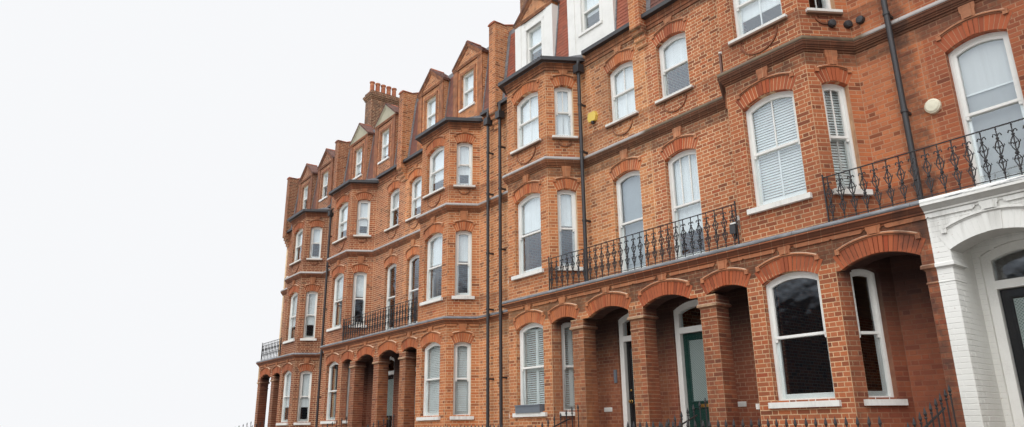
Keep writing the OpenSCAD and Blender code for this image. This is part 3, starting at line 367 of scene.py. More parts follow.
class Graph:
    """Adds nodes to a tree and links them, so that a finish reads as a few formulas."""

    def __init__(self, tree: bpy.types.NodeTree) -> None:
        """Keeps the tree that nodes are added to."""
        self.tree = tree

    def put(self, socket: Socket, value: Value) -> None:
        """Links a socket to another, or sets its own value.

        Args:
            socket: The input.
            value: The other socket, a plain value, or None to leave the input as it is.
        """
        if isinstance(value, Socket):
            self.tree.links.new(value, socket)
        elif value is not None:
            socket.default_value = value

    def node(self, kind: str, *values: Value, **words: Value) -> bpy.types.Node:
        """Adds a node.

        Args:
            kind: Type name of the node.
            values: Values or sockets for its inputs, in order.
            words: Settings of the node in small letters, or inputs by name with a capital first.

        Returns:
            The new node.
        """
        made = self.tree.nodes.new(kind)
        for name, value in words.items():
            if name[0].islower():
                setattr(made, name, value)
        for socket, value in zip(made.inputs, values):
            self.put(socket, value)
        for name, value in words.items():
            if name[0].isupper():
                self.put(made.inputs[name.replace("_", " ")], value)
        return made

    def math(self, kind: str, *values: Value) -> Socket:
        """Gives the result of one sum on numbers."""
        return self.node("ShaderNodeMath", *values, operation=kind).outputs[0]

    def times(self, first: Value, *others: Value) -> Socket:
        """Multiplies values, one after the other.

        Args:
            first: The first value.
            others: The values that it is multiplied by.

        Returns:
            The product.
        """
        for value in others:
            first = self.math("MULTIPLY", first, value)
        return first

    def vector(self, kind: str, *values: Value, **words: Value) -> Socket:
        """Gives the result of one sum on vectors."""
        made = self.node("ShaderNodeVectorMath", *values, operation=kind, **words)
        return made.outputs["Value" if kind == "DOT_PRODUCT" else "Vector"]

    def scaled(self, where: Socket, *factors: float) -> Socket:
        """Stretches a place by a factor along each axis."""
        return self.vector("MULTIPLY", where, factors)

    def split(self, where: Socket) -> Sequence[Socket]:
        """Gives the three parts of a vector."""
        return self.node("ShaderNodeSeparateXYZ", where).outputs

    def normal(self) -> Socket:
        """Gives the direction that the surface faces."""
        return self.node("ShaderNodeNewGeometry").outputs["True Normal"]

    def lean(self) -> Socket:
        """Gives how far the surface faces up (1) or down (-1)."""
        return self.split(self.normal())[2]

    def tint(self) -> Socket:
        """Gives the tint that the corners of a piece carry."""
        return self.node("ShaderNodeAttribute", attribute_name="tint").outputs["Fac"]

    def span(self, value: Value, low: float, high: float, to: Point = (0.0, 1.0)) -> Socket:
        """Spreads a value between two limits over another range, and clamps it."""
        return self.node("ShaderNodeMapRange", value, low, high, *to).outputs[0]

    def within(self, value: Value, low: float, high: float, soft: float = 0.004) -> Socket:
        """Gives 1 between two values and 0 beyond them, with a soft edge inside."""
        return self.times(self.span(value, low, low + soft), self.span(value, high, high - soft))

    def mix(self, share: Value, first: Value, second: Value, how: str = "MIX") -> Socket:
        """Mixes two colours.

        Args:
            share: Share of the second colour.
            first: The first colour.
            second: The second colour.
            how: Blend type.

        Returns:
            The mixed colour.
        """
        made = self.node("ShaderNodeMix", data_type="RGBA", blend_type=how)
        for place, value in ((0, share), (6, first), (7, second)):
            self.put(made.inputs[place], value)
        return made.outputs[2]

    def wash(self, under: Value, over: Value, value: Value, low: float, high: float,
             most: float = 1.0) -> Socket:
        """Lays one colour over another where a value is high.

        Args:
            under: The colour below.
            over: The colour laid over it.
            value: The value that says where.
            low: Where the second colour starts to show.
            high: Where it shows most.
            most: Its greatest share.

        Returns:
            The mixed colour.
        """
        return self.mix(self.span(value, low, high, (0.0, most)), under, over)

    def ramp(self, value: Value, stops: Sequence[tuple[float, Colour]], how: str = "LINEAR") -> Socket:
        """Turns a value into a colour.

        Args:
            value: The value, from 0 to 1.
            stops: Places and colours.
            how: Interpolation between the stops.

        Returns:
            The colour.
        """
        made = self.node("ShaderNodeValToRGB", value)
        band = made.color_ramp
        band.interpolation = how
        while len(band.elements) < len(stops):
            band.elements.new(1.0)
        for element, (place, colour) in zip(band.elements, stops):
            element.position = place
            element.color = colour
        return made.outputs[0]

    def by_house(self, x: Socket, tones: Sequence[tuple[int, int, int]]) -> Socket:
        """Gives each house its own colour, from left to right."""
        place = self.math("MULTIPLY_ADD", x, 1 / (len(ROW.bay_right) * ROW.house_w), 0.5)
        return self.ramp(place, [(k / len(tones), shade(*tone)) for k, tone in enumerate(tones)], "CONSTANT")

    def noise(self, where: Value, scale: float, detail: float = 3.0, rough: float = 0.55) -> Socket:
        """Gives a cloudy value from 0 to 1, with blotches about 1 / scale metres across."""
        words = {"Vector": where, "Scale": scale, "Detail": detail, "Roughness": rough}
        return self.node("ShaderNodeTexNoise", **words).outputs[0]

    def random(self, where: Value) -> Socket:
        """Gives one random value from 0 to 1 for each value of a vector."""
        return self.node("ShaderNodeTexWhiteNoise", Vector=where, noise_dimensions="3D").outputs[0]

    def bump(self, height: Value, size: float, strength: float = 1.0) -> Socket:
        """Gives a normal for a relief of that height, size metres deep."""
        return self.node("ShaderNodeBump", Strength=strength, Distance=size, Height=height).outputs[0]


@dataclass(frozen=True)
class Finish:
    """A finish that covers surfaces of the row. Each kind of finish fills in its own surface."""

    name: str

    def material(self) -> bpy.types.Material:
        """Makes the material once, and gives the same one each time.

        Returns:
            The material of this finish.
        """
        label = "row_" + self.name
        known = bpy.data.materials.get(label)
        if known:
            return known
        made = bpy.data.materials.new(label)
        made.use_nodes = True
        made.node_tree.nodes.clear()
        graph = Graph(made.node_tree)
        output = graph.node("ShaderNodeOutputMaterial")
        where = graph.node("ShaderNodeTexCoord").outputs["Object"]
        graph.put(output.inputs[0], self.surface(graph, where))
        return made

    def surface(self, graph: Graph, where: Socket) -> Socket:
        """Builds the shader.

        Args:
            graph: The tree to build in.
            where: Place on the object, in metres.

        Returns:
            The shader's output.
        """
        raise NotImplementedError

    @staticmethod
    def coat(graph: Graph, colour: Value, rough: Value, normal: Value = None, **words: Value) -> Socket:
        """Adds the Principled shader that most finishes end in."""
        words |= {"Base_Color": colour, "Roughness": rough, "Normal": normal}
        return graph.node("ShaderNodeBsdfPrincipled", **words).outputs[0]


class Bond(Enum):
    """Where the pattern of a brick finish comes from."""

    FACING = "laid bricks that carry their own tint"
    DRAWN = "courses drawn on a plain wall"
    BED = "mortar behind laid bricks, with drawn courses in the reveals"
    RUBBED = "fine moulded or gauged brick with thin joints"


@dataclass(frozen=True)
class BrickFinish(Finish):
    """Orange-red stock brick in Flemish bond, weathered, with painted light and shade, and tinted house by
    house.
    """

    bond: Bond = Bond.DRAWN
    joint: float = 0.010
    tone: Colour = shade(150, 92, 62)
    far_tone: Colour = shade(160, 102, 70)
    tone_share: float = 0.0
    bed_top: float = 99.0
    staining: float = 1.0
    # Share of the painted highlight on the faces of moulded brick that look up
    top_highlight: float = 0.5

    def surface(self, graph: Graph, where: Socket) -> Socket:
        """Builds the brick shader, with paint over the painted porch and dormers.

        Args:
            graph: The tree to build in.
            where: Place on the object, in metres.

        Returns:
            The shader's output.
        """
        x, y, z = graph.split(where)
        tint, face = self.pattern(graph, where)
        lime = graph.mix(graph.span(graph.noise(where, 9.0), 0.35, 0.7), MORTAR, OLD_MORTAR)
        nearest = ROW.bay_mid(NEAR_HOUSE) + 0.6
        lime = graph.wash(lime, RED_MORTAR, x, nearest, nearest + 0.8, 0.8)
        colour = graph.mix(face, lime, self.body(graph, where, tint))
        height = graph.math("MULTIPLY_ADD", graph.noise(where, 420.0, 2.0, 0.6), 0.25, face)
        if self.bond is Bond.BED:
            front = graph.times(graph.math("LESS_THAN", graph.split(graph.normal())[1], -0.4),
                                graph.math("LESS_THAN", z, self.bed_top))
            colour = graph.mix(front, colour, lime)
            height = graph.times(height, graph.math("SUBTRACT", 1.0, front))
        soot = graph.noise(graph.scaled(where, 1.0, 1.0, 0.35), 0.8, 5.0, 0.6)
        colour = self.weather(graph, where, graph.wash(colour, shade(92, 66, 56), soot, 0.45, 0.75, 0.4))
        painted = graph.times(graph.within(x, PAINT_FROM, PAINT_TO),
                              graph.span(z, ROW.first_z, ROW.first_z - 0.004), graph.span(y, 0.0, -0.01))
        left, right = ROW.line(PALE_DORMER_HOUSE), ROW.line(PALE_DORMER_HOUSE + 1)
        dormers = graph.times(graph.within(x, left + ROW.party_t, right - ROW.party_t),
                              graph.within(z, ROW.attic_z, ROW.attic_z + ROW.dormer_paint_h))
        painted = graph.math("MAXIMUM", painted, dormers)
        flaked = graph.span(graph.noise(where, 14.0, 5.0, 0.7), 0.66, 0.7, (1.0, 0.55))
        colour = graph.mix(graph.times(painted, flaked), colour, self.paint(graph, where, soot))
        relief = 0.002 if self.bond is Bond.RUBBED else 0.004
        rough = graph.span(painted, 0.0, 1.0, (0.86, 0.55))
        return self.coat(graph, colour, rough, graph.bump(height, relief))

    def pattern(self, graph: Graph, where: Socket) -> tuple[Value, Value]:
        """Chooses where the bricks and joints come from.

        Args:
            graph: The tree to build in.
            where: Place on the object, in metres.

        Returns:
            A random value for each brick, and 1 on bricks falling to 0 in the joints.
        """
        if self.bond is Bond.FACING:
            return graph.tint(), 1.0
        return self.gauged(graph, where) if self.bond is Bond.RUBBED else self.drawn(graph, where)

    def drawn(self, graph: Graph, where: Socket) -> tuple[Socket, Socket]:
        """Draws Flemish bond on upright walls.

        Args:
            graph: The tree to build in.
            where: Place on the object, in metres.

        Returns:
            What pattern gives.
        """
        normal = graph.normal()
        along = graph.vector("NORMALIZE", graph.vector("CROSS_PRODUCT", (0, 0, 1), normal))
        z = graph.split(where)[2]
        period = ROW.stretcher + ROW.header
        row = graph.math("FLOOR", graph.math("DIVIDE", z, ROW.course))
        odd = graph.math("FLOORED_MODULO", row, 2.0)
        u = graph.math("MULTIPLY_ADD", odd, period / 2, graph.vector("DOT_PRODUCT", where, along))
        unit = graph.math("FLOOR", graph.math("DIVIDE", u, period))
        inside = graph.math("SUBTRACT", u, graph.times(unit, period))
        is_header = graph.math("GREATER_THAN", inside, ROW.stretcher)
        to_end = graph.math("MINIMUM", inside, graph.math("SUBTRACT", period, inside))
        to_middle = graph.math("ABSOLUTE", graph.math("SUBTRACT", inside, ROW.stretcher))
        up = graph.math("SUBTRACT", z, graph.times(row, ROW.course))
        to_bed = graph.math("MINIMUM", up, graph.math("SUBTRACT", ROW.course, up))
        edge = graph.math("MINIMUM", graph.math("MINIMUM", to_end, to_middle), to_bed)
        wall = graph.math("FLOOR", graph.vector("DOT_PRODUCT", where, normal))
        number = graph.math("MULTIPLY_ADD", unit, 2.0, is_header)
        which = graph.node("ShaderNodeCombineXYZ", number, row, wall)
        return graph.random(which.outputs[0]), graph.span(edge, self.joint * 0.35, self.joint * 0.75)

    def gauged(self, graph: Graph, where: Socket) -> tuple[Socket, Socket]:
        """Draws the thin upright joints of moulded brick.

        Args:
            graph: The tree to build in.
            where: Place on the object, in metres.

        Returns:
            What pattern gives.
        """
        x, y, z = graph.split(where)
        along = graph.math("ADD", x, graph.times(y, 0.59))
        unit = graph.math("FLOOR", graph.math("DIVIDE", along, ROW.stretcher))
        inside = graph.math("SUBTRACT", along, graph.times(unit, ROW.stretcher))
        edge = graph.math("MINIMUM", inside, graph.math("SUBTRACT", ROW.stretcher, inside))
        row = graph.math("FLOOR", graph.times(z, 1 / ROW.course))
        which = graph.node("ShaderNodeCombineXYZ", unit, row)
        return graph.random(which.outputs[0]), graph.span(edge, 0.001, 0.004)

    def body(self, graph: Graph, where: Socket, tint: Value) -> Socket:
        """Colours the clean bricks.

        Args:
            graph: The tree to build in.
            where: Place on the object, in metres.
            tint: A random value for each brick.

        Returns:
            Their colour.
        """
        x = graph.split(where)[0]
        near = graph.span(x, ROW.line(PALE_DORMER_HOUSE) + 2.5, ROW.line(NEAR_HOUSE) - 0.5)
        colour = graph.by_house(x, BRICKS_BY_HOUSE)
        colour = graph.mix(self.tone_share, colour, graph.mix(near, self.far_tone, self.tone))
        varied = graph.mix(1.0, colour, graph.ramp(tint, BRICK_SPREAD), "MULTIPLY")
        colour = graph.mix(0.35 if self.bond is Bond.RUBBED else 0.9, colour, varied)
        burnt = graph.mix(0.5, colour, shade(112, 60, 44))
        colour = graph.wash(colour, burnt, graph.noise(where, 26.0, 4.0, 0.65), 0.35, 0.8, 0.45)
        return graph.wash(colour, shade(214, 160, 116), graph.noise(where, 210.0, 2.0, 0.7), 0.6, 0.75, 0.3)

    @staticmethod
    def paint(graph: Graph, where: Socket, soot: Socket) -> Socket:
        """Colours the paint over the brickwork, with soot, runs and painted shade on its undersides.

        Args:
            graph: The tree to build in.
            where: Place on the object, in metres.
            soot: The cloud that soot follows.

        Returns:
            The colour of the paint.
        """
        colour = graph.wash(PAINT, shade(176, 172, 160), soot, 0.4, 0.7, 0.4)
        runs = graph.noise(graph.scaled(where, 1.0, 1.0, 0.12), 9.0, 4.0, 0.6)
        runs = graph.times(graph.span(runs, 0.48, 0.66, (0.0, 0.55)),
                           graph.within(graph.split(where)[2], 3.9, 4.6, 0.4))
        colour = graph.mix(runs, colour, shade(150, 146, 138))
        # Painted shade on the paint where it faces down, as on the arch soffits
        return graph.wash(colour, shade(112, 108, 104), graph.lean(), -0.15, -0.7, 0.6)

    def weather(self, graph: Graph, where: Socket, colour: Socket) -> Socket:
        """Stains the brick under sills and by pipes, adds dirt and painted shade under bands, paints shade in
        porches and light on tops.

        Args:
            graph: The tree to build in.
            where: Place on the object, in metres.
            colour: Colour of the clean brickwork.

        Returns:
            The weathered colour.
        """
        x, y, z = spot = tuple(graph.split(where))
        patch = graph.span(graph.noise(where, 5.0, 5.0, 0.65), 0.36, 0.6)
        street = graph.span(y, ROW.front + 0.3, ROW.front + 0.2)
        colour = self.under_sills(graph, colour, z, patch, street)
        colour = self.under_bands(graph, colour, spot, patch, street)
        near = graph.span(y, ROW.front - 0.05, ROW.front - 0.3)
        colour = graph.mix(near, colour, shade(236, 226, 220), "MULTIPLY")
        # Painted shade over the walls of the house at the right, above its porch
        line = ROW.line(PAINTED_HOUSE)
        dull = graph.times(graph.span(x, line - 0.02, line + 0.02), graph.span(z, 4.4, 4.7, (0.0, 0.16)))
        colour = graph.mix(dull, colour, shade(96, 54, 42))
        # Soot high up on the stacks and party wall heads
        soot_and_shade = graph.times(graph.span(z, 12.0, 14.5, (0.0, 0.6)), patch)
        colour = graph.mix(soot_and_shade, colour, shade(84, 66, 56))
        if self.bond is Bond.RUBBED:
            lean = graph.lean()
            # Painted highlight on faces that look up, and painted shade on faces that look down
            colour = graph.wash(colour, shade(222, 192, 164), lean, 0.1, 0.5, self.top_highlight)
            colour = graph.wash(colour, shade(66, 42, 34), lean, -0.2, -0.8, 0.6)
            # Painted shadow: a dark line under the lip of each lead roll
            for edge in (ROW.first_z - ROW.deck_t + 0.03, ROW.second_z - 0.068):
                under = graph.within(z, edge - 0.014, edge + 0.02, 0.002)
                colour = graph.mix(under, colour, shade(48, 34, 28))
        return self.by_pipes(graph, self.in_porches(graph, colour, spot, patch), x, y, patch)

    def under_sills(self, graph: Graph, colour: Value, z: Socket, patch: Socket, street: Socket) -> Socket:
        """Darkens the wall under the upper sills.

        Args:
            graph: The tree to build in.
            colour: Colour so far.
            z: Height of the place.
            patch: A cloud that breaks up the stain.
            street: 1 on the street side.

        Returns:
            The stained colour.
        """
        share: Value = 0.0
        for sill, _ in BAY_LEVELS[1:]:
            below = graph.times(graph.span(z, sill - 0.5, sill - 0.06),
                                graph.span(z, sill + 0.02, sill - 0.02))
            share = graph.math("MAXIMUM", share, below)
        share = graph.times(share, graph.math("MULTIPLY_ADD", patch, 0.4, 0.25))
        return graph.mix(graph.times(share, graph.times(street, self.staining)), colour, shade(104, 62, 44))

    def under_bands(self, graph: Graph, colour: Value, spot: Sequence[Socket], patch: Socket,
                    street: Socket) -> Socket:
        """Darkens the friezes under the bands with dirt and painted shade, or the bands themselves with dirt.

        Args:
            graph: The tree to build in.
            colour: Colour so far.
            spot: The three parts of the place.
            patch: A cloud that breaks up the stain.
            street: 1 on the street side.

        Returns:
            The stained colour.
        """
        x, _, z = spot
        line = ROW.line(PALE_DORMER_HOUSE)
        if self.bond is Bond.RUBBED:
            sooted = graph.times(graph.span(x, line + 2.8, line + 3.8),
                                 graph.within(z, ROW.second_z - 0.35, ROW.second_z, 0.02))
            share = graph.math("MAXIMUM", graph.times(patch, graph.span(z, 5.0, 6.0, (0.2, 0.5))),
                               graph.times(sooted, graph.math("MULTIPLY_ADD", patch, 0.3, 0.5)))
        else:
            # Dirt and painted shade in the friezes under the bands
            frieze: Value = 0.0
            for top, tall in SHADED_STAINED_FRIEZES:
                frieze = graph.math("MAXIMUM", frieze, graph.within(z, top - tall, top + 0.06, 0.05))
            strength = graph.math("MULTIPLY_ADD", patch, 0.35, graph.span(z, 6.0, 5.0, (0.35, 0.55)))
            share = graph.times(frieze, street, strength, graph.span(x, line - 1.0, line + 2.0, (0.35, 1.0)))
        low = graph.span(z, 6.0, 5.0)
        nearer = graph.span(x, line + 2.0, ROW.line(NEAR_HOUSE))
        dirt_and_shade = graph.mix(nearer, shade(122, 92, 64), shade(92, 62, 44))
        return graph.mix(graph.times(share, self.staining), colour, graph.mix(low, shade(80, 58, 42), dirt_and_shade))

    @staticmethod
    def in_porches(graph: Graph, colour: Value, spot: Sequence[Socket], patch: Socket) -> Socket:
        """Darkens the porch runs below the springing, and paints shade into the porches, most of all high up,
        far in and under the arches.

        Args:
            graph: The tree to build in.
            colour: Colour so far.
            spot: The three parts of the place.
            patch: A cloud that breaks up the stain.

        Returns:
            The stained colour.
        """
        x, y, z = spot
        spring, face = ROW.spring_ground, ROW.bay_front
        porch: Value = 0.0
        for left, right in ROW.porches:
            porch = graph.math("ADD", porch, graph.within(x, left, right))
        porch = graph.times(porch, graph.within(y, -6.0, ROW.front + 0.3))
        shaft = graph.times(graph.times(porch, graph.span(z, spring, spring - 0.02)),
                            graph.math("MULTIPLY_ADD", patch, 0.25, 0.3))
        colour = graph.mix(shaft, colour, shade(80, 46, 34))
        # Painted shade: darker far in behind the arcade, under the arch soffits and high up under the balconies
        soffit = graph.times(graph.span(y, face + 0.005, face + 0.12), graph.span(z, spring - 0.4, spring))
        depth = graph.times(graph.math("MAXIMUM", graph.span(y, face + 0.02, face + 0.5), soffit),
                            graph.span(z, spring - 1.3, spring - 0.1, (0.5, 0.95)))
        inner = graph.times(porch, depth)
        inner = graph.times(inner, graph.span(z, ROW.first_z, ROW.first_z - 0.01))
        # Colour of the painted shade in the porches, darkest high up
        soot_and_shade = graph.mix(graph.span(z, spring - 1.5, spring - 0.5), shade(128, 64, 46), shade(44, 20, 15))
        return graph.mix(inner, colour, soot_and_shade)

    @staticmethod
    def by_pipes(graph: Graph, colour: Value, x: Socket, y: Socket, patch: Socket) -> Socket:
        """Darkens the wall beside the nearest downpipes, where it is wet.

        Args:
            graph: The tree to build in.
            colour: Colour so far.
            x: Place along the row.
            y: Place from front to back.
            patch: A cloud that breaks up the stain.

        Returns:
            The stained colour.
        """
        wet: Value = 0.0
        for left, right in spans_of("downpipes", 0.12):
            if left > ROW.line(NEAR_HOUSE):
                wet = graph.math("MAXIMUM", wet, graph.within(x, left - 0.12, right + 0.2, 0.1))
        wet = graph.times(wet, graph.span(y, ROW.front + 1.0, ROW.front + 0.9),
                          graph.math("MULTIPLY_ADD", patch, 0.5, 0.1))
        return graph.mix(wet, colour, shade(62, 44, 38))


@dataclass(frozen=True)
class PaintFinish(Finish):
    """Gloss paint on timber or iron, with brush marks, chips and a little grime."""

    colour: Colour = PAINT
    rough: float = 0.35
    grime: Colour = shade(150, 146, 136)
    dirt: float = 0.35
    grain: float = 60.0

    def surface(self, graph: Graph, where: Socket) -> Socket:
        """Builds the paint shader.

        Args:
            graph: The tree to build in.
            where: Place on the object, in metres.

        Returns:
            The shader's output.
        """
        strokes = graph.noise(graph.scaled(where, 1.0, 1.0, 0.12), self.grain * 4, 3.0)
        cloud = graph.noise(where, 3.0, 5.0, 0.6)
        fine = graph.noise(where, self.grain, 4.0, 0.7)
        stain = graph.times(graph.span(cloud, 0.42, 0.75), graph.span(fine, 0.35, 0.7))
        colour = graph.mix(graph.times(stain, self.dirt), self.colour, self.grime)
        rough = graph.span(fine, 0.2, 0.8, (self.rough * 0.8, min(self.rough * 1.5, 1.0)))
        return self.coat(graph, colour, rough, graph.bump(strokes, 0.0008, 0.6))


@dataclass(frozen=True)
class IronFinish(Finish):
    """Black painted cast iron with rust coming through."""

    colour: Colour = shade(30, 29, 31)
    rust: float = 0.5

    def surface(self, graph: Graph, where: Socket) -> Socket:
        """Builds the iron shader.

        Args:
            graph: The tree to build in.
            where: Place on the object, in metres.

        Returns:
            The shader's output.
        """
        patches = graph.noise(where, 7.0, 5.0, 0.7)
        fine = graph.noise(where, 90.0, 4.0, 0.6)
        spot = graph.times(graph.span(patches, 0.55, 0.75), graph.span(fine, 0.4, 0.6))
        colour = graph.wash(self.colour, shade(62, 56, 52), fine, 0.3, 0.7, 0.35)
        colour = graph.mix(graph.times(spot, self.rust), colour, shade(104, 58, 34))
        rough = graph.span(fine, 0.3, 0.7, (0.38, 0.7))
        return self.coat(graph, colour, rough, graph.bump(fine, 0.0015), Metallic=0.0)


@dataclass(frozen=True)
class LeadFinish(Finish):
    """Sheet lead that has weathered to a patchy grey, with laps across it."""

    lap: float = 1.9

    def surface(self, graph: Graph, where: Socket) -> Socket:
        """Builds the lead shader, mossy at the nearest bay and painted over the painted porch.

        Args:
            graph: The tree to build in.
            where: Place on the object, in metres.

        Returns:
            The shader's output.
        """
        x, _, z = graph.split(where)
        streaks = graph.noise(graph.scaled(where, 0.25, 0.4, 1.6), 14.0, 5.0, 0.65)
        seam = graph.span(graph.math("PINGPONG", x, self.lap / 2), 0.0, 0.012)
        colour = graph.ramp(streaks, [(0.25, shade(92, 93, 97)), (0.5, shade(126, 127, 131)),
                                      (0.75, shade(168, 168, 168))])
        colour = graph.wash(colour, shade(84, 82, 78), graph.noise(where, 2.2, 4.0, 0.6), 0.45, 0.75, 0.5)
        colour = graph.mix(graph.span(seam, 0.0, 1.0, (0.5, 0.0)), colour, shade(60, 60, 62))
        height = graph.math("ADD", graph.times(streaks, 0.4), seam)
        left, right = ROW.line(NEAR_HOUSE), ROW.line(PAINTED_HOUSE)
        mossy = graph.times(graph.span(x, left - 0.2, left), graph.span(x, right - 0.6, right - 0.8))
        pale = graph.times(graph.span(z, 6.0, 6.1, (0.0, 0.55)), graph.span(z, 9.0, 8.9),
                           graph.math("MULTIPLY_ADD", mossy, 0.6, 1.0))
        moss = graph.mix(graph.span(streaks, 0.4, 0.6), shade(92, 70, 50), shade(112, 92, 60))
        colour = graph.mix(pale, colour, graph.mix(mossy, shade(196, 186, 178), moss))
        painted = graph.times(graph.within(x, PAINT_FROM, PAINT_TO),
                              graph.span(z, ROW.first_z + 0.01, ROW.first_z))
        colour = graph.mix(graph.times(painted, graph.span(streaks, 0.36, 0.5)), colour, PAINT)
        rough = graph.span(streaks, 0.3, 0.7, (0.45, 0.75))
        return self.coat(graph, colour, rough, graph.bump(height, 0.004), Metallic=0.25)


@dataclass(frozen=True)
class StoneFinish(Finish):
    """Worn stone, bare or painted, stained where water runs."""

    colour: Colour = shade(168, 162, 150)
    stain: Colour = shade(96, 92, 84)
    stained: float = 0.6
    joints: float = 0.0
    # Top of a painted shadow band across the foot of a sill front, 0 for none
    painted_shadow_top: float = 0.0

    def surface(self, graph: Graph, where: Socket) -> Socket:
        """Builds the stone shader.

        Args:
            graph: The tree to build in.
            where: Place on the object, in metres.

        Returns:
            The shader's output.
        """
        x, y, z = graph.split(where)
        cloud = graph.noise(where, 2.5, 6.0, 0.65)
        grit = graph.noise(where, 160.0, 3.0, 0.6)
        runs = graph.noise(graph.scaled(where, 1.0, 1.0, 0.15), 18.0, 4.0, 0.6)
        mask = graph.times(graph.span(cloud, 0.42, 0.7), graph.span(runs, 0.35, 0.65))
        colour = graph.mix(graph.times(mask, self.stained), self.colour, self.stain)
        colour = graph.wash(colour, self.stain, grit, 0.55, 0.75, 0.25)
        height = graph.math("MULTIPLY_ADD", grit, 0.3, cloud)
        if self.joints:
            seam = graph.span(graph.math("PINGPONG", x, self.joints / 2), 0.0, 0.006)
            colour = graph.mix(graph.span(seam, 0.0, 1.0, (0.7, 0.0)), colour, self.stain)
            height = graph.math("MULTIPLY_ADD", seam, 0.8, height)
        # Painted shadow along the lower part of the sill fronts, on the street side
        if self.painted_shadow_top:
            below = graph.times(graph.span(z, self.painted_shadow_top, self.painted_shadow_top - 0.012),
                                graph.span(z, self.painted_shadow_top - 0.12, self.painted_shadow_top - 0.1))
            below = graph.times(below, graph.math("LESS_THAN", y, 0.0))
            colour = graph.mix(below, colour, shade(112, 84, 66))
        return self.coat(graph, colour, graph.span(grit, 0.3, 0.7, (0.6, 0.85)), graph.bump(height, 0.003))


@dataclass(frozen=True)
class ClayFinish(Finish):
    """Fired clay for tiles, ridges, copings and pots, each unit with its own tint."""

    colour: Colour = shade(150, 84, 62)
    pale: Colour = shade(176, 112, 84)
    dark: Colour = shade(94, 66, 58)
    lichen: float = 0.3
    tinted: bool = False
    by_house: bool = False

    def surface(self, graph: Graph, where: Socket) -> Socket:
        """Builds the clay shader.

        Args:
            graph: The tree to build in.
            where: Place on the object, in metres.

        Returns:
            The shader's output.
        """
        cloud = graph.noise(where, 5.0, 5.0, 0.65)
        grit = graph.noise(where, 130.0, 3.0, 0.6)
        tint = graph.tint() if self.tinted else \
            graph.random(graph.vector("FLOOR", graph.scaled(where, 4.0, 4.0, 13.0)))
        colour = graph.ramp(tint, [(0.0, self.dark), (0.25, self.colour), (0.7, self.colour),
                                   (1.0, self.pale)])
        if self.by_house:
            own = graph.by_house(graph.split(where)[0], TILES_BY_HOUSE)
            colour = graph.mix(0.75, colour, graph.mix(0.4, own, colour, "MULTIPLY"))
        colour = graph.wash(colour, self.dark, cloud, 0.45, 0.75, 0.3)
        moss = graph.times(graph.span(grit, 0.55, 0.65), graph.span(cloud, 0.5, 0.62))
        colour = graph.mix(graph.times(moss, self.lichen), colour, shade(140, 142, 118))
        return self.coat(graph, colour, graph.span(grit, 0.3, 0.7, (0.7, 0.92)), graph.bump(grit, 0.002))


@dataclass(frozen=True)
class GlassFinish(Finish):
    """Thin window glass: it mirrors at a slant and lets the room behind it show."""

    tint: Colour = shade(248, 251, 252)
    ripple: float = 0.006

    def surface(self, graph: Graph, where: Socket) -> Socket:
        """Builds the glass shader.

        Args:
            graph: The tree to build in.
            where: Place on the object, in metres.

        Returns:
            The shader's output.
        """
        normal = graph.bump(graph.noise(where, 2.6, 2.0, 0.5), self.ripple, 1.0)
        mirror = graph.node("ShaderNodeBsdfGlossy", (0.92, 0.95, 0.97, 1), Roughness=0.02, Normal=normal)
        through = graph.node("ShaderNodeBsdfTransparent", self.tint).outputs[0]
        outside = graph.math("SUBTRACT", 1.0, graph.node("ShaderNodeNewGeometry").outputs["Backfacing"])
        share = graph.times(graph.node("ShaderNodeFresnel", IOR=2.1, Normal=normal).outputs[0], outside)
        return graph.node("ShaderNodeMixShader", share, through, mirror.outputs[0]).outputs[0]


@dataclass(frozen=True)
class ObscureGlassFinish(Finish):
    """Door glass pressed with small lozenges, which hides the hall behind it."""

    colour: Colour = shade(84, 104, 102)
    cell: float = 0.022

    def surface(self, graph: Graph, where: Socket) -> Socket:
        """Builds the pressed glass shader.

        Args:
            graph: The tree to build in.
            where: Place on the object, in metres.

        Returns:
            The shader's output.
        """
        x, _, z = graph.split(where)
        first, second = (graph.math("PINGPONG", graph.math(kind, x, z), self.cell)
                         for kind in ("ADD", "SUBTRACT"))
        height = graph.math("DIVIDE", graph.math("MINIMUM", first, second), self.cell)
        colour = graph.wash(shade(150, 160, 154), self.colour, height, 0.0, 0.6)
        return self.coat(graph, colour, graph.span(height, 0.0, 1.0, (0.35, 0.12)), graph.bump(height, 0.004))


@dataclass(frozen=True)
class ClothFinish(Finish):
    """Woven cloth of a blind or curtain."""

    colour: Colour = shade(244, 244, 242)
    thread: float = 0.004

    def surface(self, graph: Graph, where: Socket) -> Socket:
        """Builds the cloth shader, greyer in the shaded house at the right.

        Args:
            graph: The tree to build in.
            where: Place on the object, in metres.

        Returns:
            The shader's output.
        """
        x, _, z = graph.split(where)
        weave = graph.math("MAXIMUM", *(graph.math("PINGPONG", part, self.thread) for part in (z, x)))
        height = graph.math("DIVIDE", weave, self.thread)
        # Painted shade in the folds of the cloth
        folds = graph.noise(graph.scaled(where, 1.0, 1.0, 0.05), 16.0, 2.0)
        dark = graph.mix(0.5, self.colour, shade(120, 118, 112))
        colour = graph.wash(self.colour, dark, folds, 0.35, 0.7, 0.3)
        shaded = graph.times(graph.math("GREATER_THAN", x, ROW.line(PAINTED_HOUSE)), 0.5)
        colour = graph.mix(shaded, colour, shade(150, 142, 132))
        return self.coat(graph, colour, graph.span(height, 0.0, 1.0, (0.8, 0.95)), graph.bump(height, 0.001))


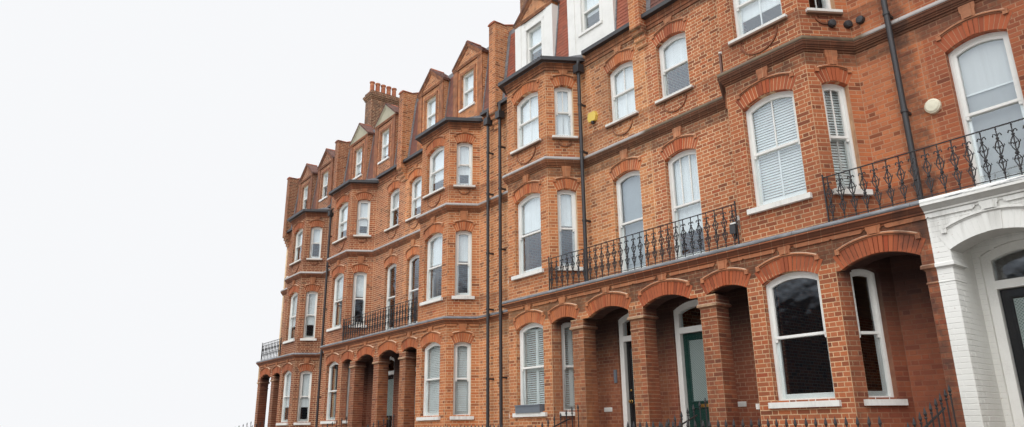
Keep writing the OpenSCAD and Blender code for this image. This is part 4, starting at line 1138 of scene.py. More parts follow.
@dataclass(frozen=True)
class BoardFinish(Finish):
    """Bare floor boards that run from front to back."""

    board: float = 0.15

    def surface(self, graph: Graph, where: Socket) -> Socket:
        """Builds the board shader.

        Args:
            graph: The tree to build in.
            where: Place on the object, in metres.

        Returns:
            The shader's output.
        """
        x = graph.split(where)[0]
        grain = graph.noise(graph.scaled(where, 22.0, 1.2, 22.0), 3.0, 5.0)
        which = graph.math("FLOOR", graph.math("DIVIDE", x, self.board))
        seam = graph.span(graph.math("PINGPONG", x, self.board / 2), 0.0, 0.004)
        tone = graph.random(graph.node("ShaderNodeCombineXYZ", which).outputs[0])
        colour = graph.ramp(grain, [(0.3, shade(120, 90, 62)), (0.7, shade(176, 140, 100))])
        colour = graph.mix(graph.times(tone, 0.4), colour, shade(104, 80, 58))
        colour = graph.mix(graph.span(seam, 0.0, 1.0, (0.8, 0.0)), colour, shade(40, 32, 26))
        return self.coat(graph, colour, 0.7, graph.bump(graph.math("ADD", seam, grain), 0.003))


@dataclass(frozen=True)
class FloorTileFinish(Finish):
    """Red and cream square floor tiles laid cornerwise, as porches have them."""

    tile: float = 0.15

    def surface(self, graph: Graph, where: Socket) -> Socket:
        """Builds the tiled floor shader.

        Args:
            graph: The tree to build in.
            where: Place on the object, in metres.

        Returns:
            The shader's output.
        """
        turned = graph.node("ShaderNodeMapping", Vector=where, Rotation=(0, 0, math.radians(45)),
                            Scale=(1 / self.tile, 1 / self.tile, 1.0)).outputs[0]
        checks = graph.node("ShaderNodeTexChecker", Vector=turned, Scale=1.0, Color1=shade(140, 66, 48),
                            Color2=shade(206, 190, 158)).outputs[0]
        dust = graph.noise(where, 6.0, 5.0, 0.6)
        colour = graph.wash(checks, shade(110, 100, 90), dust, 0.4, 0.75, 0.5)
        return self.coat(graph, colour, graph.span(dust, 0.3, 0.7, (0.35, 0.7)), graph.bump(dust, 0.002))


@dataclass(frozen=True)
class BrassFinish(Finish):
    """Rubbed brass of knobs and letter plates."""

    def surface(self, graph: Graph, where: Socket) -> Socket:
        """Builds the brass shader.

        Args:
            graph: The tree to build in.
            where: Place on the object, in metres.

        Returns:
            The shader's output.
        """
        fine = graph.noise(where, 120.0, 4.0, 0.6)
        colour = graph.ramp(fine, [(0.3, shade(150, 112, 58)), (0.7, shade(206, 166, 92))])
        rough = graph.span(fine, 0.3, 0.7, (0.22, 0.45))
        return self.coat(graph, colour, rough, graph.bump(fine, 0.0006), Metallic=1.0)


@dataclass(frozen=True)
class PlasterFinish(Finish):
    """Plain pale plaster or board of the studio floor."""

    colour: Colour = shade(168, 167, 165)

    def surface(self, graph: Graph, where: Socket) -> Socket:
        """Builds the plaster shader.

        Args:
            graph: The tree to build in.
            where: Place on the object, in metres.

        Returns:
            The shader's output.
        """
        cloud = graph.noise(where, 0.6, 4.0, 0.6)
        colour = graph.wash(self.colour, shade(150, 149, 147), cloud, 0.3, 0.7, 0.12)
        return self.coat(graph, colour, 0.9, graph.bump(cloud, 0.01))


FACING = BrickFinish("facing_brick", Bond.FACING)
WALLING = BrickFinish("wall_brick", Bond.DRAWN)
BEDDING = BrickFinish("brick_bedding", Bond.BED)
PARTY = BrickFinish("party_brick", Bond.BED, bed_top=9.97)
ARCH_BED = BrickFinish("arch_bedding", Bond.BED, tone=shade(186, 92, 58), far_tone=shade(204, 120, 74),
                       tone_share=0.55)
SOOTY = BrickFinish("sooty_brick", Bond.DRAWN, tone=shade(96, 68, 52), far_tone=shade(96, 68, 52),
                    tone_share=0.6)
RUBBED = BrickFinish("rubbed_brick", Bond.RUBBED, tone=shade(146, 92, 64), tone_share=0.6)
CAP_BRICK = BrickFinish("cap_brick", Bond.RUBBED, tone=shade(214, 156, 112), far_tone=shade(206, 146, 102),
                        tone_share=0.7, staining=0.3, top_highlight=0.8)
HOOD_BRICK = BrickFinish("hood_brick", Bond.RUBBED, tone=shade(204, 144, 106), far_tone=shade(200, 140, 98),
                         tone_share=0.7, staining=0.4, top_highlight=0.8)
GAUGED = BrickFinish("gauged_brick", Bond.FACING, tone=shade(190, 96, 58), far_tone=shade(206, 122, 76),
                     tone_share=0.55, staining=0.12)
LEAD = LeadFinish("sheet_lead")
WHITE = PaintFinish("white_paint")
BLACK_PIPE = IronFinish("black_pipe_paint", shade(44, 42, 44), 0.4)
IRON = IronFinish("black_iron", shade(26, 25, 27), 0.6)
# Sills, with painted shadow along the foot of their fronts
SILL = StoneFinish("painted_sill", shade(228, 226, 220), shade(132, 126, 114), 0.4,
                   painted_shadow_top=BAY_LEVELS[2][0] - 0.045)
STONE = StoneFinish("step_stone", joints=1.2)
WORN_STONE = StoneFinish("worn_stone", shade(176, 170, 148), shade(110, 106, 84), 0.5)
TILE = ClayFinish("roof_tile", tinted=True, by_house=True)
TILE_BED = ClayFinish("tile_bedding", shade(96, 62, 52), shade(120, 80, 66), shade(64, 48, 44))
COPING = ClayFinish("coping_clay", shade(158, 88, 62), shade(184, 112, 84), shade(104, 72, 60))
COPING_BRICK = ClayFinish("coping_brick", COPING.colour, COPING.pale, COPING.dark, tinted=True)
POT = ClayFinish("pot_clay", shade(176, 104, 72), shade(206, 146, 106), shade(120, 84, 66), 0.15)
GLASS = GlassFinish("window_glass")
OBSCURE = ObscureGlassFinish("pressed_glass")
GREEN_DOOR = PaintFinish("green_door_paint", shade(22, 56, 50), 0.22, shade(60, 70, 64), 0.25)
BLACK_DOOR = PaintFinish("black_door_paint", shade(20, 20, 22), 0.2, shade(60, 58, 56), 0.25)
BOARDS = BoardFinish("floor_boards")
PORCH_TILES = FloorTileFinish("porch_tiles")
BRASS = BrassFinish("rubbed_brass")
CLOTH = ClothFinish("blind_cloth")
NET = ClothFinish("net_cloth", shade(160, 165, 168))
CREAM = PaintFinish("cream_plastic", shade(226, 220, 196), 0.4, shade(150, 140, 116), 0.3)
YELLOW = PaintFinish("yellow_plastic", shade(226, 196, 92), 0.4, shade(150, 124, 70), 0.4)
GREY = PaintFinish("grey_window_box", shade(104, 110, 118), 0.5, shade(70, 72, 74), 0.4)

NODE_FINISHES: dict[str, Finish] = {
    **dict.fromkeys(("plinth_walls", "rear_walls", "porch_plinths", "dormers"), WALLING),
    "party_walls": PARTY, "chimney_stacks": SOOTY,
    **dict.fromkeys(("door_side_walls", "upper_front_walls", "bay_front_walls", "bay_side_walls",
                     "bay_flank_walls", "porch_columns", "porch_arches"), BEDDING),
    **dict.fromkeys(("hood_moulds", "swags", "brick_strings", "ground_cornice"), RUBBED),
    "brick_arches": ARCH_BED,
    **dict.fromkeys(("balcony_decks", "lead_flashings", "flat_roofs", "bay_roofs"), LEAD),
    **dict.fromkeys(("front_windows", "attic_windows", "rear_windows", "door_frames",
                     "fanlight_frames"), WHITE),
    **dict.fromkeys(("balcony_rails", "step_rails", "front_railings"), IRON),
    **dict.fromkeys(("gutters", "downpipes"), BLACK_PIPE),
    **dict.fromkeys(("entrance_steps", "step_walls", "front_dwarf_walls"), STONE),
    **dict.fromkeys(("mansards", "dormer_roofs"), TILE_BED),
    **dict.fromkeys(("door_1", "door_5"), GREEN_DOOR),
    **dict.fromkeys(("door_2", "door_3", "door_4", "door_6"), BLACK_DOOR),
    "floors": BOARDS, "porch_floors": PORCH_TILES, "window_sills": SILL, "window_glass": GLASS,
    "party_copings": COPING, "chimney_pots": POT,
}


class MeshWork:
    """Collects solids of corners and faces, each with its own tint, and makes one piece of them."""

    def __init__(self) -> None:
        """Starts with nothing."""
        self.corners: list[Vector] = []
        self.faces: list[tuple[int, ...]] = []
        self.tints: list[float] = []

    def add(self, place: Matrix, corners: Iterable[Sequence[float]], faces: Iterable[Sequence[int]],
            tint: float = 0.5) -> None:
        """Adds one solid.

        Args:
            place: Frame that the corners are given in.
            corners: Its corners.
            faces: Its faces, seen from outside with their corners in anticlockwise order.
            tint: Its tint, from 0 to 1.
        """
        base = len(self.corners)
        made = [place @ Vector(c) for c in corners]
        self.corners += made
        self.faces += [tuple(base + k for k in face) for face in faces]
        self.tints += [tint] * len(made)

    def loft(self, place: Matrix, rings: Sequence[Sequence[Sequence[float]]], tint: float = 0.5,
             ends: bool = True, closed: bool = False) -> None:
        """Joins a row of rings to one solid. Each ring runs clockwise as seen by one who walks along the row.

        Args:
            place: Frame that the rings are given in.
            rings: The rings, each with the same number of corners.
            tint: Its tint.
            ends: True to close both ends.
            closed: True to join the last ring to the first.
        """
        n, m = len(rings[0]), len(rings)
        faces = [(j * n + k, (j + 1) % m * n + k, (j + 1) % m * n + (k + 1) % n, j * n + (k + 1) % n)
                 for j in range(m if closed else m - 1) for k in range(n)]
        if ends and not closed:
            faces += [tuple(range(n)), tuple(range(m * n - 1, (m - 1) * n - 1, -1))]
        self.add(place, [corner for ring in rings for corner in ring], faces, tint)

    def lathe(self, place: Matrix, profile: Sequence[Point], sides: int = 8, tint: float = 0.5) -> None:
        """Turns a profile about the upright axis.

        Args:
            place: Frame of the profile.
            profile: Radii and heights, from its foot up.
            sides: Number of sides.
            tint: Its tint.
        """
        turns = [2 * math.pi * k / sides for k in range(sides)]
        rings = [[(radius * math.cos(a), radius * math.sin(a), z) for a in turns] for radius, z in profile]
        self.loft(place, rings, tint)

    def strap(self, place: Matrix, path: Sequence[Point], wide: float, deep: float, tint: float = 0.5,
              closed: bool = False) -> None:
        """Runs a bar of square section along a path in x and z.

        Args:
            place: Frame of the drawing.
            path: Points of the bar's middle line.
            wide: Width of the bar in the drawing.
            deep: Depth of the bar.
            tint: Its tint.
            closed: True to join the end to the start.
        """
        points = [Vector(p) for p in path]
        rings = []
        for k, point in enumerate(points):
            before = points[k - 1] if k or closed else point
            after = points[(k + 1) % len(points)] if k + 1 < len(points) or closed else point
            ahead = (after - before).normalized()
            side = Vector((-ahead.y, ahead.x)) * wide / 2
            low, high = point - side, point + side
            rings.append([(low.x, deep / 2, low.y), (low.x, -deep / 2, low.y), (high.x, -deep / 2, high.y),
                          (high.x, deep / 2, high.y)])
        self.loft(place, rings, tint, closed=closed)

    def arc(self, place: Matrix, hole: "Opening", up: float, profile: Sequence[Point], reach: float,
            steps: int = 12) -> None:
        """Bends a moulding over an opening.

        Args:
            place: Frame of the wall face.
            hole: The opening.
            up: Distance from the opening's head to the foot of the moulding.
            profile: Distances out from the wall and up, from the inner foot outwards and up.
            reach: Angle from the crown to each end.
            steps: Number of stretches.
        """
        rings = []
        for k in range(steps + 1):
            angle = reach * (2 * k / steps - 1)
            radii = [hole.radius + up + rise for _, rise in profile]
            rings.append([(hole.mid + r * math.sin(angle), -out, hole.centre_z + r * math.cos(angle))
                          for r, (out, _) in zip(radii, profile)])
        self.loft(place, rings)

    def box(self, place: Matrix, low: Sequence[float], high: Sequence[float], tint: float = 0.5) -> None:
        """Adds a box between two corners of a frame.

        Args:
            place: The frame.
            low: Its lower corner at the front.
            high: Its upper corner at the back, at either side of the other.
            tint: Its tint.
        """
        ends = sorted((low[0], high[0]))
        corners = [(x, y, z) for z in (low[2], high[2]) for y in (low[1], high[1]) for x in ends]
        self.add(place, corners, BOX_FACES, tint)

    def prism(self, place: Matrix, outline: Sequence[Point], front: float, back: float,
              tint: float = 0.5) -> None:
        """Adds a solid whose outline is drawn in x and z, anticlockwise, between two depths.

        Args:
            place: Frame that the outline is drawn in.
            outline: Corners of the outline.
            front: Depth of the front face, the smaller one.
            back: Depth of the back face.
            tint: Its tint.
        """
        n = len(outline)
        corners = [(x, front, z) for x, z in outline] + [(x, back, z) for x, z in outline]
        sides = [(k, n + k, n + (k + 1) % n, (k + 1) % n) for k in range(n)]
        self.add(place, corners, [tuple(range(n)), tuple(range(2 * n - 1, n - 1, -1)), *sides], tint)

    def sweep(self, path: Sequence[Point], profile: Sequence[Point], tint: float = 0.5,
              ends: bool = True) -> None:
        """Runs a profile along a level path with mitred corners; the outer side lies on the path's right.

        Args:
            path: Places along the path.
            profile: Distances out from the path and heights, clockwise as seen along the path.
            tint: Its tint.
            ends: True to close both ends.
        """
        points = [Vector(p) for p in path]
        steps = [(b - a).normalized() for a, b in zip(points, points[1:])]
        outs = [Vector((s.y, -s.x)) for s in steps]
        corners = []
        for k, point in enumerate(points):
            first, second = outs[max(k - 1, 0)], outs[min(k, len(outs) - 1)]
            mitre = (first + second) / (1 + first.dot(second))
            corners += [(*(point + mitre * out), z) for out, z in profile]
        n = len(profile)
        self.loft(Matrix(), [corners[k * n:(k + 1) * n] for k in range(len(points))], tint, ends)

    def mesh(self, name: str) -> bpy.types.Mesh:
        """Makes a mesh of all that was added, with tints as an attribute.

        Args:
            name: Its name.

        Returns:
            The mesh.
        """
        made = bpy.data.meshes.new(name)
        made.from_pydata(self.corners, [], self.faces)
        made.attributes.new("tint", "FLOAT", "POINT").data.foreach_set("value", self.tints)
        made.validate()
        return made

    def piece(self, name: str, finish: Finish, body: str = BODY) -> bpy.types.Object:
        """Makes one finished piece.

        Args:
            name: Its name.
            finish: Its finish.
            body: The body that it rides on.

        Returns:
            The piece, at the origin.
        """
        return finished(name, self.mesh(name), finish, body)


BOX_FACES = ((0, 2, 3, 1), (4, 5, 7, 6), (0, 1, 5, 4), (2, 6, 7, 3), (0, 4, 6, 2), (1, 3, 7, 5))


def finished(name: str, mesh: bpy.types.Mesh, finish: Finish, body: str = BODY) -> bpy.types.Object:
    """Makes an object of a mesh, finishes it and lets it ride on a body.

    Args:
        name: Name of the piece.
        mesh: Its mesh, in the row's frame.
        finish: Its finish.
        body: The body that it rides on.

    Returns:
        The piece.
    """
    mesh.materials.clear()
    mesh.materials.append(finish.material())
    made = bpy.data.objects.new(name, mesh)
    bpy.context.scene.collection.objects.link(made)
    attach(made, body)
    LOG.info("%s: %d faces", name, len(mesh.polygons))
    return made


@dataclass
class Course:
    """Copies of one small unit, set on points by Geometry Nodes. Each point has a turn, a size and a tint."""

    name: str
    unit: MeshWork
    finish: Finish
    wobble: float = 0.0
    seed: int = 1
    spots: list[tuple[Vector, Vector, Vector, float]] = field(default_factory=list)

    def lay(self, spot: Vector, turn: Sequence[float], size: Sequence[float] = (1, 1, 1),
            tint: float = 0.5) -> None:
        """Adds a copy at a spot, turned by angles about x, y and z and stretched by a size."""
        self.spots.append((spot, Vector(turn), Vector(size), tint))

    def tree(self) -> bpy.types.NodeTree:
        """Builds the Geometry Nodes tree.

        Returns:
            The tree, with inputs for the unit, its finish, the wobble and the seed.
        """
        made = bpy.data.node_groups.new("set_" + self.name, "GeometryNodeTree")
        face = made.interface
        face.new_socket("Geometry", in_out="OUTPUT", socket_type="NodeSocketGeometry")
        for label, kind in (("Geometry", "Geometry"), ("Unit", "Object"), ("Finish", "Material"),
                            ("Wobble", "Float"), ("Seed", "Int")):
            face.new_socket(label, in_out="INPUT", socket_type="NodeSocket" + kind)
        graph = Graph(made)
        given = graph.node("NodeGroupInput").outputs
        shake = graph.node("FunctionNodeRandomValue", data_type="FLOAT_VECTOR", Seed=given["Seed"])
        graph.put(shake.inputs[1], graph.vector("SCALE", (1, 1, 1), Scale=given["Wobble"]))
        graph.put(shake.inputs[0], graph.vector("SCALE", (-1, -1, -1), Scale=given["Wobble"]))
        turn = graph.node("GeometryNodeInputNamedAttribute", "turn", data_type="FLOAT_VECTOR").outputs[0]
        size = graph.node("GeometryNodeInputNamedAttribute", "size", data_type="FLOAT_VECTOR").outputs[0]
        unit = graph.node("GeometryNodeObjectInfo", given["Unit"]).outputs["Geometry"]
        copies = graph.node("GeometryNodeInstanceOnPoints", Points=given["Geometry"], Instance=unit,
                            Rotation=graph.vector("ADD", turn, shake.outputs[0]), Scale=size)
        plain = graph.node("GeometryNodeRealizeInstances", copies.outputs[0])
        dressed = graph.node("GeometryNodeSetMaterial", Geometry=plain.outputs[0], Material=given["Finish"])
        graph.node("NodeGroupOutput", dressed.outputs[0])
        return made

    def piece(self, body: str = BODY) -> bpy.types.Object:
        """Sets all the copies and makes one plain mesh of them.

        Args:
            body: The body that the piece rides on.

        Returns:
            The finished piece.
        """
        points = bpy.data.meshes.new(self.name + "_points")
        points.from_pydata([s[0] for s in self.spots], [], [])
        for label, column in (("turn", 1), ("size", 2)):
            values = [v for s in self.spots for v in s[column]]
            points.attributes.new(label, "FLOAT_VECTOR", "POINT").data.foreach_set("vector", values)
        points.attributes.new("tint", "FLOAT", "POINT").data.foreach_set("value", [s[3] for s in self.spots])
        carrier = bpy.data.objects.new(self.name + "_points", points)
        unit_mesh = self.unit.mesh(self.name + "_unit")
        unit_mesh.attributes.remove(unit_mesh.attributes["tint"])
        unit = bpy.data.objects.new(self.name + "_unit", unit_mesh)
        for made in (carrier, unit):
            bpy.context.scene.collection.objects.link(made)
        modifier = carrier.modifiers.new("set", "NODES")
        modifier.node_group = self.tree()
        values = {"Unit": unit, "Finish": self.finish.material(), "Wobble": self.wobble, "Seed": self.seed}
        for item in modifier.node_group.interface.items_tree:
            if item.in_out == "INPUT" and item.name in values:
                modifier[item.identifier] = values[item.name]
        graph = bpy.context.evaluated_depsgraph_get()
        mesh = bpy.data.meshes.new_from_object(carrier.evaluated_get(graph))
        mesh.name = self.name
        carrier.modifiers.remove(modifier)
        for made in (carrier, unit):
            bpy.data.objects.remove(made)
        return finished(self.name, mesh, self.finish, body)


@dataclass(frozen=True)
class Studio:
    """Camera at the street, a pale floor and soft light from an overcast sky."""

    spot: tuple[float, float, float] = (15.750, -14.925, 1.462)
    yaw: float = 0.92141
    pitch: float = 0.2973
    roll: float = -0.00954
    focal_share: float = 710.77 / 1024
    floor_size: float = 160.0

    def camera(self) -> None:
        """Puts the camera where the photograph was taken."""
        data = bpy.data.cameras.new("street_camera")
        data.sensor_fit = "HORIZONTAL"
        data.sensor_width = 36.0
        data.lens = 36.0 * self.focal_share
        data.clip_end = 500.0
        made = bpy.data.objects.new("street_camera", data)
        bpy.context.scene.collection.objects.link(made)
        level = math.cos(self.pitch)
        ahead = Vector((-math.sin(self.yaw) * level, math.cos(self.yaw) * level, math.sin(self.pitch)))
        right = Vector((math.cos(self.yaw), math.sin(self.yaw), 0))
        up = right.cross(ahead)
        side = math.cos(self.roll) * right + math.sin(self.roll) * up
        top = -math.sin(self.roll) * right + math.cos(self.roll) * up
        turn = Matrix((side, top, -ahead)).transposed().to_4x4()
        made.matrix_world = Matrix.Translation(self.spot) @ turn
        bpy.context.scene.camera = made

    def floor(self) -> None:
        """Lays the floor."""
        half = self.floor_size / 2
        work = MeshWork()
        corners = [(-half, -half, 0), (half, -half, 0), (half, half, 0), (-half, half, 0)]
        work.add(Matrix(), corners, [(0, 1, 2, 3)])
        mesh = work.mesh("studio_floor")
        mesh.materials.append(PlasterFinish("studio_floor").material())
        made = bpy.data.objects.new("studio_floor", mesh)
        bpy.context.scene.collection.objects.link(made)

    def light(self) -> None:
        """Sets an overcast sky, bright above and darker near the ground, and one very soft key light."""
        scene = bpy.context.scene
        scene.view_settings.view_transform = "Standard"
        world = bpy.data.worlds.new("overcast")
        scene.world = world
        world.use_nodes = True
        graph = Graph(world.node_tree)
        world.node_tree.nodes.clear()
        up = graph.split(graph.node("ShaderNodeTexCoord").outputs["Generated"])[2]
        height = graph.span(up, -1.0, 1.0)
        sky = graph.ramp(height, [(0.0, (0.18, 0.17, 0.16, 1)), (0.52, (0.22, 0.22, 0.22, 1)),
                                  (0.60, (0.55, 0.57, 0.60, 1)), (0.75, (0.98, 0.99, 1.0, 1)),
                                  (1.0, (1.0, 1.0, 1.0, 1))])
        street = graph.ramp(height, [(0.0, (0.03, 0.03, 0.03, 1)), (0.575, (0.02, 0.022, 0.026, 1)),
                                     (0.61, (0.5, 0.55, 0.62, 1)), (0.68, (0.82, 0.9, 1.0, 1)),
                                     (1.0, (1.0, 1.0, 1.0, 1))])
        path = graph.node("ShaderNodeLightPath").outputs
        seen, glossy = path["Is Camera Ray"], path["Is Glossy Ray"]
        colour = graph.mix(seen, graph.mix(glossy, sky, street), (0.93, 0.94, 0.96, 1))
        strength = graph.mix(glossy, (1.25, 1.25, 1.25, 1), (2.2, 2.2, 2.2, 1))
        strength = graph.mix(seen, strength, (1, 1, 1, 1))
        back = graph.node("ShaderNodeBackground", colour, strength)
        graph.node("ShaderNodeOutputWorld", back.outputs[0])
        sun = bpy.data.lights.new("soft_key", "SUN")
        sun.energy = 1.6
        sun.angle = math.radians(55)
        made = bpy.data.objects.new("soft_key", sun)
        scene.collection.objects.link(made)
        made.rotation_euler = (math.radians(48), 0, math.radians(28))


def spans_of(node: str, reach: float = 0.3) -> list[Point]:
    """Gives the stretches along the row that the solids of a node cover.

    Args:
        node: Name of the node.
        reach: Least gap between two stretches.

    Returns:
        Left and right end of each stretch.
    """
    xs = sorted({round(v.co.x, 3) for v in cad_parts[node].data.vertices})
    spans = [(xs[0], xs[0])]
    for x in xs[1:]:
        if x - spans[-1][1] < reach:
            spans[-1] = (spans[-1][0], x)
        else:
            spans.append((x, x))
    return spans


# Half width, foot and head of the base, the shaft and the head of a porch column, over the ground floor
COLUMN_STAGES = ((0.2, 0.0, 0.25), (0.18, 0.25, 2.62), (0.2, 2.66, 2.83))


@dataclass
class Brickwork:
    """Facing bricks on the street front, laid in Flemish bond round the openings, and the gauged arches."""

    joint: float = 0.013
    relief: float = 0.003
    edge: float = 0.03
    least: float = 0.055
    voussoir: float = 0.068
    arch_joint: float = 0.011
    painted_joint: float = 0.0012
    arch_relief: float = 0.009
    key_relief: float = 0.016
    dice: random.Random = field(default_factory=lambda: random.Random(1887))

    def faces(self) -> list[WallFace]:
        """Lists the stretches of the street front that are faced.

        Returns:
            The bay faces, their canted sides, the flats between them, the arcade and its columns.
        """
        made = []
        for house in ROW.houses:
            made += self.bay_faces(house) + self.flat_faces(house) + self.arcade_faces(house)
        return made + self.column_faces()

    @staticmethod
    def column_faces() -> list[WallFace]:
        """Gives the front and the two sides of every porch column: its base, its shaft and its head.

        Returns:
            The wall faces.
        """
        made = []
        y = ROW.bay_front + ROW.column_w / 2
        for left, right in spans_of("porch_columns", 0.5):
            mid = (left + right) / 2
            house = min(ROW.houses, key=lambda k: abs(ROW.line(k) + ROW.house_w / 2 - mid))
            for half, low, high in COLUMN_STAGES:
                corners = [(mid - half, y + half), (mid - half, y - half),
                           (mid + half, y - half), (mid + half, y + half)]
                made += [WallFace(house, *ends, ROW.ground_z + low, ROW.ground_z + high, (), ())
                         for ends in zip(corners, corners[1:])]
        return made

    @staticmethod
    def bay_faces(house: int) -> list[WallFace]:
        """Gives the face and the two canted sides of a bay.

        Args:
            house: Number of its house.

        Returns:
            The wall faces.
        """
        mid, face, root = ROW.bay_mid(house), ROW.bay_face_w / 2, ROW.bay_root_w / 2
        skips = (CORNICE_SKIP, STRING_SKIP, (ROW.bay_top_z - 0.14, ROW.bay_top_z))
        wide = tuple(Opening(face, ROW.face_win_w, *level, storey=k) for k, level in enumerate(BAY_LEVELS))
        ends = (mid - face, ROW.bay_front), (mid + face, ROW.bay_front)
        made = [WallFace(house, *ends, 0.0, ROW.bay_top_z, wide, skips)]
        side = math.dist((face, ROW.bay_out), (root, 0))
        for s in (-1, 1):
            porch = ROW.is_porch_side(house, s)
            rings = (0.0 if porch else ROW.arch_ring, ROW.arch_ring, ROW.arch_ring)
            narrow = tuple(Opening(side / 2, ROW.side_win_w, *level, ring, storey=k)
                           for k, (level, ring) in enumerate(zip(BAY_LEVELS, rings)))
            low = ROW.ground_z if porch else 0.0
            made.append(WallFace(house, *ROW.corners(house, s)[::s], low, ROW.bay_top_z, narrow, skips))
        return made

    @staticmethod
    def flat_faces(house: int) -> list[WallFace]:
        """Gives the flat walls at both sides of a bay: over and beside the door, and the flank.

        Args:
            house: Number of the house.

        Returns:
            The wall faces.
        """
        near, far = ROW.bay_u - ROW.bay_root_w / 2, ROW.bay_u + ROW.bay_root_w / 2
        flats = tuple(Opening(0.0, ROW.flat_win_w, *level, storey=k)
                      for k, level in enumerate(FLAT_LEVELS, 1))
        door = Opening(0.0, ROW.doorway_w, 0.0, ROW.spring_ground, 0.0, Use.DOOR)
        flank_low = ROW.ground_z if house == NEAR_HOUSE else 0.0
        skips = ((ROW.first_z - ROW.deck_t, ROW.first_z), STRING_SKIP)
        spans = ((0.0, near, ROW.ground_z, (*flats, door)), (far, ROW.house_w, flank_low, ()))
        made = []
        for start, end, low, holes in spans:
            left, right = sorted((ROW.across(house, start), ROW.across(house, end)))
            mid = ROW.across(house, ROW.door_u) - left
            holes = tuple(replace(hole, mid=mid) for hole in holes)
            ends = (left, ROW.front), (right, ROW.front)
            made.append(WallFace(house, *ends, low, ROW.eaves_z - 0.16, holes, skips))
        return made

    @staticmethod
    def arcade_faces(house: int) -> list[WallFace]:
        """Gives the wall over the arches of a house's porch.

        Args:
            house: Number of the house.

        Returns:
            The wall faces.
        """
        half = ROW.column_w / 2
        first = half + ROW.door_arch_w / 2
        second = half + ROW.door_arch_w + ROW.column_w + ROW.side_arch_w / 2
        arches = ((first, ROW.door_arch_w), (second, ROW.side_arch_w))
        stretches = [(0.0, ROW.bay_u - ROW.bay_face_w / 2, arches)]
        if house == NEAR_HOUSE:
            beyond = ((ROW.house_w - half - ROW.far_arch_w / 2, ROW.far_arch_w),)
            stretches.append((ROW.bay_u + ROW.bay_face_w / 2, ROW.house_w, beyond))
        made = []
        for start, end, arches in stretches:
            left, right = sorted((ROW.across(house, start), ROW.across(house, end)))
            holes = tuple(Opening(ROW.across(house, u) - left, w, 0.0, ROW.spring_ground, use=Use.ARCH)
                          for u, w in arches)
            ends = (left, ROW.bay_front), (right, ROW.bay_front)
            made.append(WallFace(house, *ends, ROW.spring_ground, CORNICE_SKIP[0], holes))
        return made

    def bricks(self, face: WallFace, row: int) -> list[Point]:
        """Gives the bricks of one course.

        Args:
            face: The wall face.
            row: Number of the course.

        Returns:
            Start and end of each brick, joints included.
        """
        period = ROW.stretcher + ROW.header
        made = []
        for a, b in face.free_spans((row + 0.5) * ROW.course):
            cuts = [a]
            unit = math.floor(a / period) - 1
            while cuts[-1] < b:
                shift = unit * period - (row % 2) * period / 2
                for cut in (shift, shift + ROW.stretcher):
                    if a + self.least < cut < b - self.least:
                        cuts.append(cut)
                if shift > b:
                    cuts.append(b)
                unit += 1
            made += list(zip(cuts, cuts[1:]))
        return made

    def lay(self) -> None:
        """Lays the facing bricks, one piece for each house."""
        unit = MeshWork()
        base = [(-0.5, 0.3, -0.5), (0.5, 0.3, -0.5), (0.5, 0.3, 0.5), (-0.5, 0.3, 0.5)]
        top = [(math.copysign(0.5 - self.edge / 2, x), -1.0, math.copysign(0.5 - self.edge, z))
               for x, _, z in base]
        unit.add(Matrix(), base + top, [(4, 5, 6, 7), (0, 1, 5, 4), (1, 2, 6, 5), (2, 3, 7, 6), (3, 0, 4, 7)])
        faces = self.faces()
        for house in ROW.houses:
            course = Course(f"facing_bricks_{house + 1}", unit, FACING, 0.004, house + 1)
            for face in faces:
                if face.house == house:
                    self.lay_face(course, face)
            course.piece()

    def lay_face(self, course: Course, face: WallFace) -> None:
        """Lays one wall face, course by course.

        Args:
            course: The copies of the brick.
            face: The wall face.
        """
        place = face.place()
        for row in range(math.ceil(face.low / ROW.course - 0.5), math.floor(face.high / ROW.course)):
            z = (row + 0.5) * ROW.course
            if any(low < z < high for low, high in face.skips):
                continue
            for a, b in self.bricks(face, row):
                deep = self.relief * self.dice.uniform(0.75, 1.25)
                size = (b - a - self.joint, deep, ROW.course - self.joint)
                course.lay(place @ Vector(((a + b) / 2, 0, z)), (0, 0, face.turn), size, self.dice.random())

    def arches(self) -> None:
        """Sets the radial bricks of every gauged arch on the street front."""
        work = MeshWork()
        for face in self.faces():
            for hole in face.openings:
                if hole.ring:
                    self.arch(work, face.place(), hole)
        work.piece("gauged_arches", GAUGED)

    def arch(self, work: MeshWork, place: Matrix, hole: Opening) -> None:
        """Sets the wedges of one arch, with fine joints where paint fills them.

        Args:
            work: The mesh that they are added to.
            place: Frame of the wall face.
            hole: The opening under the arch.
        """
        count = 2 * round(hole.radius * hole.half_angle / self.voussoir) + 1
        step = 2 * hole.half_angle / count
        spot = place @ Vector((hole.mid, 0, hole.spring))
        painted = PAINT_FROM < spot.x < PAINT_TO and spot.z < ROW.first_z
        gap = (self.painted_joint if painted else self.arch_joint) / 2
        low, high = hole.radius, hole.radius + hole.ring
        for k in range(count):
            a, b = -hole.half_angle + k * step, -hole.half_angle + (k + 1) * step
            outline = []
            for radius, angle, side in ((low, a, 1), (low, b, -1), (high, b, -1), (high, a, 1)):
                turn = angle + side * gap / radius
                outline.append((hole.mid + radius * math.sin(turn), hole.centre_z + radius * math.cos(turn)))
            proud = self.arch_relief + (self.key_relief if abs(k - count // 2) < 2 else 0.0)
            work.prism(place, outline, -proud, 0.02, self.dice.uniform(0.1, 1.0))


